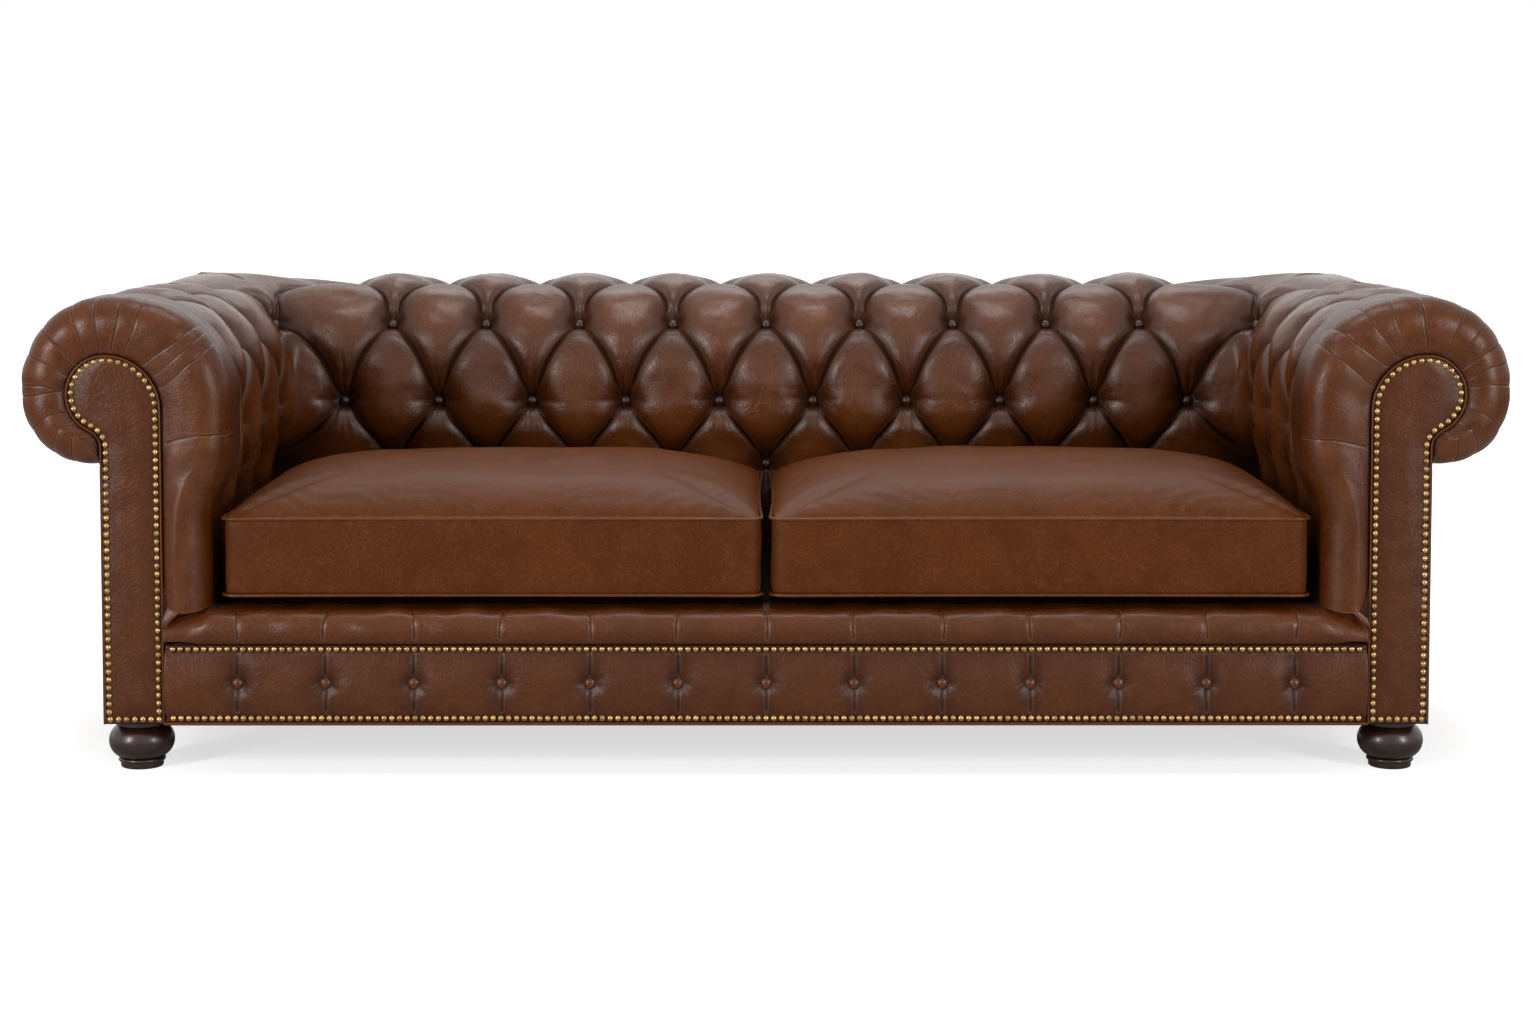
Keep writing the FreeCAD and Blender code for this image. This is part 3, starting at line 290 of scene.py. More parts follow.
def steel():
    finish = Finish("spring_steel")
    film = finish.noise(60, 3, 0.6)
    base = finish.mix(film, rgb((0.16, 0.16, 0.17)), rgb((0.32, 0.31, 0.29)))
    return finish.surface(Base_Color=base, Roughness=0.30 + 0.25 * film, Metallic=0.95,
                          Normal=finish.bump(finish.noise(500, 2, 0.5), 0.05 * MM, 0.3))


def woven(name, warp, weft, threads, rough, lift, fuzz=0.1):
    """Plain weave seen from above, with threads along X and Y."""
    finish = Finish(name)
    across, along = finish.waves(threads, "X"), finish.waves(threads, "Y")
    over = finish.maths("GREATER_THAN", across + along, 1.0)
    slub = finish.noise(1, 3, 0.6, finish.stretched((40, 400, 400)))
    base = finish.mix(over, rgb(warp), rgb(weft))
    base = finish.mix(finish.between(slub, 0.45, 0.75) * 0.3, base, rgb(weft, 0.5))
    height = finish.maths("MAXIMUM", across, along)
    return finish.surface(Base_Color=base, Roughness=rough + 0.1 * slub,
                          Normal=finish.bump(height, lift, 0.8),
                          Sheen_Weight=fuzz, Specular_IOR_Level=0.2)


BRASS = brass()
MAHOGANY = wood("mahogany", (0.026, 0.007, 0.003), (0.012, 0.004, 0.002), 0.26, 0.2, 0.12,
                (30, 30, 4), (math.radians(90), 0, 0))
BEECH = wood("beech_frame", (0.50, 0.32, 0.18), (0.36, 0.21, 0.11), 0.55, 0.0, 0.55, (3, 30, 30))
STEEL = steel()
DECK = woven("deck_cloth", (0.018, 0.010, 0.007), (0.026, 0.015, 0.010), 420, 0.85, 0.2 * MM, 0.0)
HESSIAN = woven("hessian", (0.33, 0.23, 0.13), (0.42, 0.30, 0.17), 260, 0.9, 0.4 * MM)
WEBBING = woven("webbing", (0.36, 0.30, 0.22), (0.09, 0.07, 0.06), 190, 0.85, 0.4 * MM)
BLACK = woven("black_cloth", (0.010, 0.010, 0.011), (0.017, 0.017, 0.018), 700, 0.9, 0.1 * MM)


# Curves that shape the meshes
def graded(turns, pull=0.6):
    """Draw evenly spaced lines towards whole numbers."""
    return turns - pull * np.sin(2 * np.pi * turns) / (2 * np.pi)


def unit(value):
    return np.clip(value, 0, 1)


def fall(distance, width):
    """1 at no distance, straight down to 0 at a width."""
    return unit(1 - distance / width)


def bell(distance, width):
    return np.exp(-(distance / width) ** 2)


def smooth(value, low, high):
    """A smooth step from 0 at low to 1 at high."""
    step = unit((value - low) / (high - low))
    return step * step * (3 - 2 * step)


def cusp(distance, width):
    """A sharp valley: 1 at its bottom and 0 from a width away, with round shoulders."""
    share = fall(np.abs(distance), width)
    return 1 - np.sqrt(1 - share * share)


def turned(x, y, heading):
    """How far places are ahead along a heading, and how far aside of it."""
    return x * np.cos(heading) + y * np.sin(heading), y * np.cos(heading) - x * np.sin(heading)


def ripples(x, y, size, seed):
    """Smooth seeded unevenness, mostly between -1 and 1, with waves of about one size."""
    draw = np.random.default_rng(seed)
    total = np.zeros_like(x)
    for _ in range(8):
        heading, step = draw.uniform(0, 2 * np.pi), draw.uniform(0.6, 1.5)
        start = draw.uniform(0, 2 * np.pi)
        total += np.sin(turned(x, y, heading)[0] * step * 2 * np.pi / size + start)
    return total / 3


class Outline:
    """A path of lines and arcs in (out, up), read by the distance along it."""

    def __init__(self, start, heading):
        self.points, self.headings = [start], [math.radians(heading)]
        self.bends, self.ends = [], [0.0]

    def add(self, length, bend):
        out, up = self.points[-1]
        old = self.headings[-1]
        new = old + bend * length
        if bend:
            out += (math.sin(new) - math.sin(old)) / bend
            up += (math.cos(old) - math.cos(new)) / bend
        else:
            out, up = out + length * math.cos(old), up + length * math.sin(old)
        self.points.append((out, up))
        self.headings.append(new)
        self.bends.append(bend)
        self.ends.append(self.ends[-1] + length)
        return self

    def line(self, length):
        return self.add(length, 0.0)

    def arc(self, turn, radius):
        """An arc. A positive turn in degrees goes left."""
        bend = math.copysign(1 / radius, turn)
        return self.add(math.radians(abs(turn)) * radius, bend)

    def at(self, distance, rise=0.0):
        """Points at distances along the path, moved left of it by a rise."""
        distance = np.asarray(distance, float)
        index = np.searchsorted(self.ends, distance, side="right") - 1
        index = np.clip(index, 0, len(self.bends) - 1)
        bend, old = np.array(self.bends)[index], np.array(self.headings)[index]
        start = np.array(self.points)[index]
        step = distance - np.array(self.ends)[index]
        new = old + bend * step
        straight, bend = bend == 0, np.where(bend == 0, 1.0, bend)
        out = np.where(straight, step * np.cos(old), (np.sin(new) - np.sin(old)) / bend)
        up = np.where(straight, step * np.sin(old), (np.cos(old) - np.cos(new)) / bend)
        return start[..., 0] + out - rise * np.sin(new), start[..., 1] + up + rise * np.cos(new)


# Outlines of the roll and of the facing, both up from the seat side and over to the outside
ROLL = Outline((33, 236), 90).line(149).arc(28.49, 136.27).arc(-28.49, 136.27).line(64)
ROLL.arc(-90, 161).line(26).arc(-90, 135).line(20).arc(-90, 105).line(14)
FACING = Outline((102, 77), 90).line(490).arc(-90, 85).arc(-154.27, 62).arc(64.27, 30)
FACING.line(430)
ROLL_END, FACING_END = ROLL.ends[-1], FACING.ends[-1]
FACING_TIP = 623.5  # the top of the facing, along its outline


# Mesh tools
def flat_grid(mesh, x_range, y_range, columns, rows):
    """Add a flat grid to a bmesh, between two corners in x and y."""
    made = bmesh.ops.create_grid(mesh, x_segments=columns, y_segments=rows, size=0.5)["verts"]
    for vertex in made:
        vertex.co.x = x_range[0] + (vertex.co.x + 0.5) * (x_range[1] - x_range[0])
        vertex.co.y = y_range[0] + (vertex.co.y + 0.5) * (y_range[1] - y_range[0])
    return made


def box(node):
    """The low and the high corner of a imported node, in millimetres."""
    return (np.array(corner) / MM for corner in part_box(node))


def cut(mesh, point, normal, **options):
    """Cut the whole mesh along a plane."""
    bmesh.ops.bisect_plane(mesh, geom=mesh.verts[:] + mesh.edges[:] + mesh.faces[:],
                           plane_co=point, plane_no=normal, **options)


def merge(mesh):
    bmesh.ops.remove_doubles(mesh, verts=mesh.verts, dist=1e-5)


def shape(mesh, place):
    """Place a flat mesh's vertices by a function that gives millimetres, and marks."""
    flat = np.array([vertex.co[:] for vertex in mesh.verts])
    points, marks = place(*flat.T)
    layers = {name: mesh.verts.layers.float.new(name) for name in marks}
    columns = (np.stack(np.broadcast_arrays(*points), axis=1) * MM).tolist()
    for vertex, point in zip(mesh.verts, columns):
        vertex.co = point
    for name, layer in layers.items():
        for vertex, value in zip(mesh.verts, marks[name].tolist()):
            vertex[layer] = value
    for face in mesh.faces:
        face.smooth = True


def close(mesh):
    """Fill the open ends with flat faces that keep a sharp edge."""
    edges = [edge for edge in mesh.edges if edge.is_boundary]
    for face in bmesh.ops.holes_fill(mesh, edges=edges, sides=0)["faces"]:
        face.smooth = False
        for edge in face.edges:
            edge.smooth = False


def from_mesh(mesh, name, finish):
    data = bpy.data.meshes.new(name)
    mesh.to_mesh(data)
    mesh.free()
    data.materials.append(finish)
    return add(name, data)


def piece(mesh, name, finish, stands_for, body="sofa", thickness=None):
    """Turn a bmesh into a finished piece on a body: padded by a fill, or with a wall inwards."""
    bmesh.ops.recalc_face_normals(mesh, faces=mesh.faces)
    made = from_mesh(mesh, name, finish)
    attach(made, body)
    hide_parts(*stands_for)
    if thickness:
        wall = made.modifiers.new("thickness", "SOLIDIFY")
        wall.thickness = thickness * MM
        wall.offset = -1
    return made


# Deep-buttoned pads
CREASE_REACH = 142  # across a pad's folds, for each pitch along the row
BUTTON_SEAT = 9  # radius that a button presses flat
PILLOW_DEPTH, FOLD_DEPTH, PIT_DEPTH = 16, 8, 19
# For each row of buttons: angle, start, length, depth and width of the small pleats round a button
PUCKERS = {
    0: ((-90, 8, 70, 2.0, 4), (-70, 10, 40, 1.2, 3), (-112, 10, 45, 1.2, 3)),
    1: ((90, 12, 105, 2.4, 4), (4, 8, 62, 2.4, 4), (177, 8, 62, 2.4, 4), (-86, 8, 80, 2.0, 3),
        (-97, 8, 72, 2.0, 3), (-72, 9, 62, 1.6, 3), (-109, 9, 62, 1.6, 3), (64, 10, 44, 1.3, 3),
        (118, 10, 44, 1.3, 3), (-45, 10, 40, 1.2, 3), (-135, 10, 40, 1.2, 3), (35, 10, 38, 1.1, 3),
        (146, 10, 38, 1.1, 3)),
    2: ((90, 10, 62, 2.0, 4), (-90, 8, 42, 1.8, 4), (2, 8, 34, 1.6, 4), (180, 8, 34, 1.6, 4),
        (70, 10, 38, 1.2, 3), (112, 10, 38, 1.2, 3), (-62, 10, 30, 1.2, 3), (-118, 10, 30, 1.2, 3)),
    3: ((90, 8, 60, 1.8, 4), (-90, 8, 60, 1.8, 4), (4, 8, 40, 1.5, 4), (176, 8, 40, 1.5, 4)),
}


def tufting(along, level, distance, seed):
    """Buttoned leather over its outline: its place along, bowed sideways, its rise and marks."""
    row = np.clip(level, 0, 3)
    a, b = along + row / 2, along - row / 2
    near_a, near_b = np.round(a), np.round(b)
    wave_a, wave_b = np.sin(np.pi * a) ** 2, np.sin(np.pi * b) ** 2
    bow = 8 * smooth(row, 0.9, 1.3) + 8 * smooth(row, 1.9, 2.3)
    along = along - bow / PITCH * (wave_a - wave_b)
    fall_a = np.abs(a - near_a) * CREASE_REACH
    fall_b = np.abs(b - near_b) * CREASE_REACH
    pillow = (wave_a * wave_b) ** 0.3
    groove = 1 - (1 - cusp(fall_a, 22)) * (1 - cusp(fall_b, 22))
    above = smooth(distance, ROWS[3], ROWS[3] + 90)
    below = smooth(distance, ROWS[0], ROWS[0] - 80)
    fade = 1 - 0.45 * np.maximum(above, below)

    button_row = np.clip(near_a - near_b, 0, 3)
    button_along = np.where(level < 0, near_a, (near_a + near_b) / 2)
    across = (along - button_along) * PITCH
    up = distance - ROWS[button_row.astype(int)]
    ring = np.maximum(np.hypot(across, up) - BUTTON_SEAT, 0)
    pit = np.exp(-(ring / 19) ** 1.25)
    rise = -PILLOW_DEPTH * (1 - pillow) * fade - FOLD_DEPTH * groove * fade - PIT_DEPTH * pit
    # The crease mark paints shade along the folds, and below along the puckers
    crease = fall(np.minimum(fall_a, fall_b), 20) * (0.4 + 0.6 * fade)

    draw = np.random.default_rng(seed)
    for kind, pleats in PUCKERS.items():
        for angle, start, length, depth, width in pleats:
            heading = math.radians(angle) + draw.normal(0, 0.05)
            heading = heading + 0.06 * np.sin(7.3 * button_along + angle)
            ahead, aside = turned(across, up, heading)
            reach = length * (1 + 0.25 * np.sin(3.1 * button_along + angle))
            part = (button_row == kind) * smooth(ahead, start, start + 8)
            part = part * (1 - smooth(ahead, 0.35 * reach, reach))
            rise = rise - 1.7 * depth * part * cusp(aside, 2.0 * width)
            crease = np.maximum(crease, part * fall(np.abs(aside), 2.6 * width) * 0.95)

    rise = rise + 1.3 * ripples(along * PITCH, distance, 90, seed) * pillow
    rise = rise + 0.35 * ripples(along * PITCH, distance, 26, seed + 1) * pillow
    # Painted shade: the pit mark darkens the button pits and the hide towards the folds
    shade = np.maximum(pit, 0.62 * (1 - smooth(pillow, 0.15, 0.85)) * fade)
    marks = {"crease": crease * (1 - 0.6 * pit), "pit": shade, "rubbed": pillow ** 3 * (1 - pit)}
    return along, rise, marks


def corner_radius(out, up):
    """Radius of the corner in plan: filled inside at the top of the pads, rounded off outside."""
    inside = 85 * unit((up - 430) / 90) * unit(out / 34) * unit((203 - out) / 101.5)
    return inside + 165 * unit((out - 203) / 119)


def round_the_seat(along, out, up):
    """A point on the back, in the corner's fan or on the right arm, by pitches from the middle."""
    side = np.where(along < 0, -1.0, 1.0)
    pitches = np.abs(along)
    on_arm = pitches > 5
    share = unit(np.where(on_arm, 5.5 - pitches, pitches - 4.5) / 0.5)
    turn = np.arctan(share * math.tan(math.radians(44.95)))
    radius = corner_radius(out, up)
    inner = FAN + out - radius
    bent = radius ** 2 - inner ** 2 * (1 - np.sin(2 * turn))
    bent = inner * (np.cos(turn) + np.sin(turn)) + np.sqrt(np.maximum(bent, 0))
    reach = (FAN + out) / np.cos(turn)
    reach = np.where(reach * np.sin(turn) > inner, bent, reach)
    near, far = reach * np.cos(turn), reach * np.sin(turn)
    x_back = np.clip(pitches, 0, 4.5) * PITCH + far
    y_back = BACK_FACE - FAN + near
    x_arm = INSIDE - FAN + near
    y_arm = BACK_FACE - FAN + far - np.maximum(pitches - 5.5, 0) * PITCH
    return side * np.where(on_arm, x_arm, x_back), np.where(on_arm, y_arm, y_back)


def tufted_pad(name, start, end, side, seed):
    """A closed buttoned pad between two places along the seat, counted in pitches.

    Its flat mesh has levels: -1 where the outline starts, 0 to 3 at the rows of buttons and 4
    at the outline's end. Levels 4 to 5 go back inside the pad to its start.
    """
    mesh = bmesh.new()
    low, high = math.floor(start - 2), math.ceil(end + 2)
    lines = (high - low) * STEPS
    flat_grid(mesh, (low, high), (low, high), lines, lines)
    for vertex in mesh.verts:
        a, b = graded(vertex.co.x), graded(vertex.co.y)
        vertex.co = ((a + b) / 2, a - b, 0)
    margin = 0.6
    outside = [face for face in mesh.faces
               if not (start - margin < face.calc_center_median().x < end + margin
                       and -margin < face.calc_center_median().y < 3 + margin)]
    bmesh.ops.delete(mesh, geom=outside, context="FACES")
    for point, normal in (((start, 0, 0), (-1, 0, 0)), ((end, 0, 0), (1, 0, 0)),
                          ((0, 0, 0), (0, -1, 0)), ((0, 3, 0), (0, 1, 0))):
        cut(mesh, point, normal, dist=1e-5, clear_outer=True)
    for levels, rows in (((-1, 0), 12), ((3, 4), 36), ((4, 5), 9)):
        for vertex in flat_grid(mesh, (start, end), levels, round((end - start) * STEPS), rows):
            x = vertex.co.x
            whole = np.interp(vertex.co.y, (-1, 0, 3, 4, 5), (1, 1, 0, 0, 1))
            vertex.co.x = (graded(x - 0.5) + 0.5) * (1 - whole) + graded(x) * whole
    merge(mesh)

    def place(x, y, z):
        distance = np.interp(y, [-1, 0, 1, 2, 3, 4], [0, *ROWS, ROLL_END])
        along, rise, marks = tufting(x, y, distance, seed)
        inner, last = (y > 4.001) & (y < 4.999), y > 4.999
        distance = np.where(inner, np.interp(y, [4.11, 4.89], [ROLL_END, 0]), distance)
        distance = np.where(last, 0, distance)
        first_along, first_rise, _ = tufting(x, np.full_like(x, -1), np.zeros_like(x), seed)
        rise = np.where(last, first_rise, np.where(inner, -PAD, rise))
        along = np.where(last, first_along, np.where(inner, x, along))
        if side:
            ahead = (end - along) * PITCH
            rise = rise - np.where(inner, 0, 10 * cusp(ahead, 15))
            # Painted shade along the seam at the pad's end, through the crease mark
            marks["crease"] = np.maximum(marks["crease"], fall(ahead, 16) * 0.95)
        out, up = ROLL.at(distance, rise)
        x, y = round_the_seat(along, out, up)
        return (x * (side or 1), y, up), marks

    shape(mesh, place)
    merge(mesh)
    close(mesh)
    piece(mesh, name + "_tufted", TUFTED,
          (name + "_tufted_cover", name + "_roll_foam"))


tufted_pad("back", -5, 5, 0, 11)
tufted_pad("right_arm", 5, 8, 1, 23)
tufted_pad("left_arm", 5, 8, -1, 37)

# Arm front bands. Each pleat runs from a place at the facing to one at the outer edge, both as
# distances along the roll in millimetres, and goes on back along the roll. Its depth comes last
LEFT_PLEATS = ((692, 686, 5), (645, 643, 3.5), (576, 567, 4), (504, 478, 5), (411, 442, 4.5),
               (296, 300, 3), (740, 742, 4.5), (786, 792, 4), (836, 841, 3), (840, 859, 3),
               (888, 920, 4.5), (925, 971, 4), (975, 1005, 3), (455, 462, 2.5), (610, 604, 2.5))
RIGHT_PLEATS = ((580, 570, 4), (630, 618, 4), (693, 692, 4.5), (765, 772, 4.5), (828, 841, 3.5),
                (879, 915, 4), (925, 974, 4), (973, 1010, 3.5), (545, 522, 4.5), (500, 471, 5),
                (420, 442, 4.5), (290, 293, 3), (730, 733, 2.5), (800, 806, 2.5))
# Places along the roll and along the facing that face each other
ROLL_STOPS = np.array([23.5, 348.6, 627.5, 849.6, 1024.5, 1038.5])
FACING_STOPS = np.array([153.5, 490, 623.5, 720.9, 824.1, 851.1])
BAND_LOW = ROLL_STOPS[0]
EDGE_RADIUS = 44
SIDE_RUN = 100  # from the rounded edge back to the buttoned pad
SEAM_GAP = 0.5


def band(name, side, pleats, seed):
    """The padded band round a facing: up the front, over its rounded edge and back to the pad."""
    front_rows, edge_rows, side_rows = 20, 16, 22
    outer = front_rows + edge_rows + side_rows
    mesh = bmesh.new()
    columns = 700
    flat_grid(mesh, (BAND_LOW * MM, ROLL_STOPS[-1] * MM), (0, outer + 6), columns, outer + 6)

    def place(x, y, z):
        x = x / MM
        on_front, on_side = y <= front_rows, y > front_rows + edge_rows
        facing_out, facing_up = FACING.at(np.interp(x, ROLL_STOPS, FACING_STOPS))
        roll_out, roll_up = ROLL.at(x)
        width = np.hypot(roll_out - facing_out, roll_up - facing_up)
        across = unit(y / front_rows)
        edge = unit((y - front_rows) / edge_rows) * np.pi / 2
        back = unit((y - front_rows - edge_rows) / side_rows)
        run = across * width + edge * EDGE_RADIUS + back * SIDE_RUN
        total = width + EDGE_RADIUS * np.pi / 2

        rise, crease = np.zeros_like(x), np.zeros_like(x)
        for start, end, depth in pleats:
            centre = start + (end - start) * np.clip(run / total, 0, 1.3) ** 0.8
            centre = centre + 1.4 * np.sin(run / 34 + start)
            aside = (x - centre) * np.where(run < total, 0.6 + 0.4 * run / total, 1)
            part = smooth(run, 3, 10) * (1 - smooth(run, 0.92 * total, total + 45))
            rise = rise - 0.40 * depth * part * cusp(aside, 4.5)
            rise = rise - 0.30 * depth * part * bell(aside, 13)
            crease = np.maximum(crease, part * fall(np.abs(aside), 6.5))
        rise = rise + 0.7 * ripples(x, run, 110, seed)
        seam = (1 - back) * SIDE_RUN
        rise = rise - np.where(on_front, 0, 9 * cusp(seam, 14))
        crease = np.maximum(crease, np.where(on_side, fall(seam, 16), 0))

        lift = rise * np.sin(edge) - EDGE_RADIUS * (1 - np.sin(edge))
        shoulder_out, shoulder_up = ROLL.at(x, lift)
        swell = np.maximum(np.sin(across * np.pi / 2) ** 0.8, bell(x - BAND_LOW, 30))
        y_front = FRONT + 15 - 13 * swell - rise * np.cos(edge) * smooth(across, 0, 0.2)
        y_round = FRONT + 2 + EDGE_RADIUS * (1 - np.cos(edge)) - rise * np.cos(edge)
        y_side = FRONT + EDGE_RADIUS + 4
        y_side = y_side + back * (ARM_END - SEAM_GAP - y_side)
        depth = np.where(on_front, y_front, np.where(back > 0, y_side, y_round))

        hidden = y > outer
        wall, inner = unit((y - outer) / 3), unit((y - outer - 3) / 3)
        share = np.where(hidden, 1 - wall, across)
        out = facing_out + (shoulder_out - facing_out) * share
        up = facing_up + (shoulder_up - facing_up) * share
        y_inner = ARM_END - SEAM_GAP + inner * (FRONT + 15 - ARM_END + SEAM_GAP)
        depth = np.where(hidden, y_inner, depth)
        sag = 7 * bell(x - BAND_LOW, 40)
        up = up - sag * np.sin(np.pi * unit((out - 33) / 69))

        # Painted shade: the crease mark darkens the pleats, the seam, the strip beside the facing
        # and the low end, and the pit mark darkens beside the facing and towards the outer edge
        by_facing = fall(across * width, 9) * smooth(x, BAND_LOW, BAND_LOW + 30)
        crease = np.maximum(crease, 0.9 * by_facing * on_front)
        crease = np.maximum(crease, fall(x - BAND_LOW, 6) * 0.9)
        rubbed = np.sin(unit(run / total) * np.pi) ** 2
        rubbed = rubbed * (0.5 + 0.5 * ripples(x, run, 60, seed + 2))
        shade = 0.6 * bell(run, 13) + 0.5 * smooth(run, 0.85 * total, total + 12)
        marks = {"crease": crease, "rubbed": unit(rubbed), "pit": shade}
        return (side * (INSIDE + out), depth, up), marks

    shape(mesh, place)
    merge(mesh)
    close(mesh)
    piece(mesh, name + "_band", BAND, (name + "_front_band",))


band("left_arm", -1, LEFT_PLEATS, 51)
band("right_arm", 1, RIGHT_PLEATS, 52)

FACING_LOW, FACING_BOARD = 77.5, -458  # its lower edge, and the front of the board under it


def facing(name, side, seed):
    """The nailed panel on an arm front, domed a little between its nails."""
    mesh = bmesh.new()
    flat_grid(mesh, (0, 1), (0, 1), 26, 130)
    inset = 0.5

    def place(x, y, z):
        left_out, left_up = FACING.at(y * FACING_TIP, -inset)
        right_out, right_up = FACING.at(FACING_END - y * (FACING_END - FACING_TIP), -inset)
        out = left_out + (right_out - left_out) * x
        up = np.maximum(left_up + (right_up - left_up) * x, FACING_LOW)
        width = np.hypot(right_out - left_out, right_up - left_up)
        edge = np.minimum(np.minimum(x, 1 - x) * width, up - FACING_LOW)
        edge = np.minimum(edge, (1 - y) * 900)
        dome = smooth(edge, 10, 40)
        rise = 5 * np.sqrt(unit(edge / 7)) - 1.4 * bell(edge - 9, 4) + 2.2 * dome
        rise = rise + 0.4 * ripples(out, up, 60, seed)
        # Painted shade: the crease and pit marks darken the panel towards its edges
        marks = {"crease": fall(edge, 7), "pit": 0.5 * np.exp(-edge / 13), "rubbed": 0.3 * dome}
        return (side * (INSIDE + out), FACING_BOARD - rise, up), marks

    shape(mesh, place)
    merge(mesh)
    piece(mesh, name + "_facing", PANEL, (name + "_facing_panel",), thickness=2.5)


facing("left", -1, 61)
facing("right", 1, 62)


# Front border and seat lip
def quilted(x, pull):
    """Places along the border from pitches, the distance from the nearest column, and which."""
    along = np.where(np.abs(x) < BORDER_BEND, graded(x, pull), x) * BORDER_PITCH
    column = np.clip(np.round(along / BORDER_PITCH), -6, 6)
    return along, along - column * BORDER_PITCH, column


BORDER_LOW, BORDER_TOP, BORDER_BUTTONS = 79.2, 202, 142
BORDER_BACK = -460.8
BORDER_PUCKERS = (12, -14, 168, -166, 40, 142, -38, -140)


def border():
    """The nailed front border: a button in each column, with a close fold above and below it."""
    mesh = bmesh.new()
    units = BORDER_END / BORDER_PITCH
    flat_grid(mesh, (-units, units), (BORDER_LOW, BORDER_TOP), 640, 44)

    def place(x, y, z):
        along, aside, column = quilted(x, 0.55)
        edge = np.minimum(y - BORDER_LOW, BORDER_TOP - y)
        billow = np.cos(np.pi * aside / BORDER_PITCH) ** 2 * (np.abs(x) < BORDER_BEND)
        swell = np.sin(unit((edge - 9) / 52) * np.pi / 2)
        rise = (8.5 - 5 * billow ** 3) * swell + 2.5 * smooth(edge, 0, 5) - 1.5 * bell(edge - 8, 4)
        up = y - BORDER_BUTTONS
        high = np.abs(up)
        pit = np.exp(-(np.maximum(np.hypot(aside, up) - 8, 0) / 11) ** 1.3)
        fold = (1 - smooth(high, 40, 56)) * smooth(high, 6, 14)
        lean = 1.3 + 0.3 * np.sin(5 * column + np.sign(up))
        crease = np.zeros_like(x)
        for half in (-1, 1):
            line = aside - half * lean * (0.6 + 0.4 * high / 55)
            rise = rise - 2.4 * fold * cusp(line, 7)
            crease = np.maximum(crease, fold * fall(np.abs(line), 8))
        rise = rise - 6.5 * pit + 0.5 * ripples(along, y, 60, 71)
        for angle in BORDER_PUCKERS:
            heading = math.radians(angle) + 0.2 * np.sin(column * 2.3 + angle)
            ahead, off = turned(aside, up, heading)
            part = smooth(ahead, 7, 14) * (1 - smooth(ahead, 16, 38))
            rise = rise - 0.9 * part * cusp(off, 7)
        # Painted shade: dark down each quilting column and towards the edges, at the button pits,
        # and along the folds through the crease mark
        shade = 0.55 * np.exp(-np.abs(aside) / 15) * (np.abs(x) < 6.6)
        shade = np.maximum(shade, 0.5 * np.exp(-edge / 11))
        marks = {"crease": np.maximum(crease, fall(edge, 6)),
                 "pit": np.maximum(0.75 * pit, shade),
                 "rubbed": smooth(rise, 3, 7) * 0.5}
        return (along, BORDER_BACK - rise, y), marks

    shape(mesh, place)
    piece(mesh, "quilted_border", PANEL, ("front_border",), thickness=3)


# Section of the lip from its seam with the border to under the cushions, in (y, up)
LIP_SECTION = np.array([(-464, 203), (-470, 206), (-472.4, 213), (-472.9, 224), (-470, 238),
                        (-462, 249), (-448, 256), (-428, 258.8), (-399, 259.2)])
LIP_LOW, LIP_HEIGHT = 203, 55.8


def lip():
    """The rounded edge in front of the cushions, drawn in at each quilting column."""
    knots = np.concatenate([[0], np.cumsum(np.hypot(*np.diff(LIP_SECTION, axis=0).T))])
    mesh = bmesh.new()
    units = BORDER_END / BORDER_PITCH
    flat_grid(mesh, (-units, units), (0, 1), 560, 30)

    def place(x, y, z):
        along, aside, column = quilted(x, 0.5)
        distance = y * knots[-1]
        depth, up = (np.interp(distance, knots, LIP_SECTION[:, axis]) for axis in (0, 1))
        out = unit((np.abs(along) - INSIDE - 33) / 69)
        tall = LIP_LOW + LIP_HEIGHT - 29 * out - 7 * np.sin(np.pi * out)
        up = LIP_LOW + (up - LIP_LOW) * (tall - LIP_LOW) / LIP_HEIGHT
        part = smooth(distance, 3, 16) * (1 - smooth(distance, 62, 96))
        line = aside - 2.5 * np.sin(distance / 20 + 3 * column)
        rise = -3.4 * part * cusp(line, 9) - 2.0 * part * bell(aside, 30)
        rise = rise + 1.2 * ripples(along, distance, 80, 81) * smooth(distance, 0, 15)
        crease = part * fall(np.abs(line), 8)
        lean = np.interp(distance, [0, 30, 75], [0.0, 0.25, 1.0]) * np.pi / 2
        # Beside the facings the lip goes up behind the bands, out of sight
        turn = np.arcsin(unit(1 - 69 * out / EDGE_RADIUS))
        band_front = FRONT + 2 + EDGE_RADIUS * (1 - np.cos(turn))
        hidden = np.maximum(depth - band_front, 0) * smooth(out, 0.04, 0.12)
        depth = depth - hidden + 18 * smooth(hidden, 0, 14)
        points = (along, depth - rise * np.cos(lean), up + hidden + rise * np.sin(lean))
        # Painted shade: dark at the seam with the border and where the lip goes under the cushions,
        # and along the pleats through the crease mark
        shade = 0.5 * np.exp(-distance / 9) + 0.5 * smooth(distance, 60, 85)
        marks = {"crease": np.maximum(crease, fall(distance, 6)), "pit": shade,
                 "rubbed": 0.7 * bell(distance - 45, 16)}
        return points, marks

    shape(mesh, place)
    for _ in range(3):  # rounds off the corners of the section
        inner = [vertex for vertex in mesh.verts if not vertex.is_boundary]
        bmesh.ops.smooth_vert(mesh, verts=inner, factor=0.5, use_axis_y=True, use_axis_z=True)
    piece(mesh, "padded_lip", BAND, ("seat_lip",), thickness=4)


border()
lip()


# Outside panels, deck, cloths
PANEL_LOW, PANEL_HEIGHT, PANEL_SWELL = 77.3, 402, 1.5


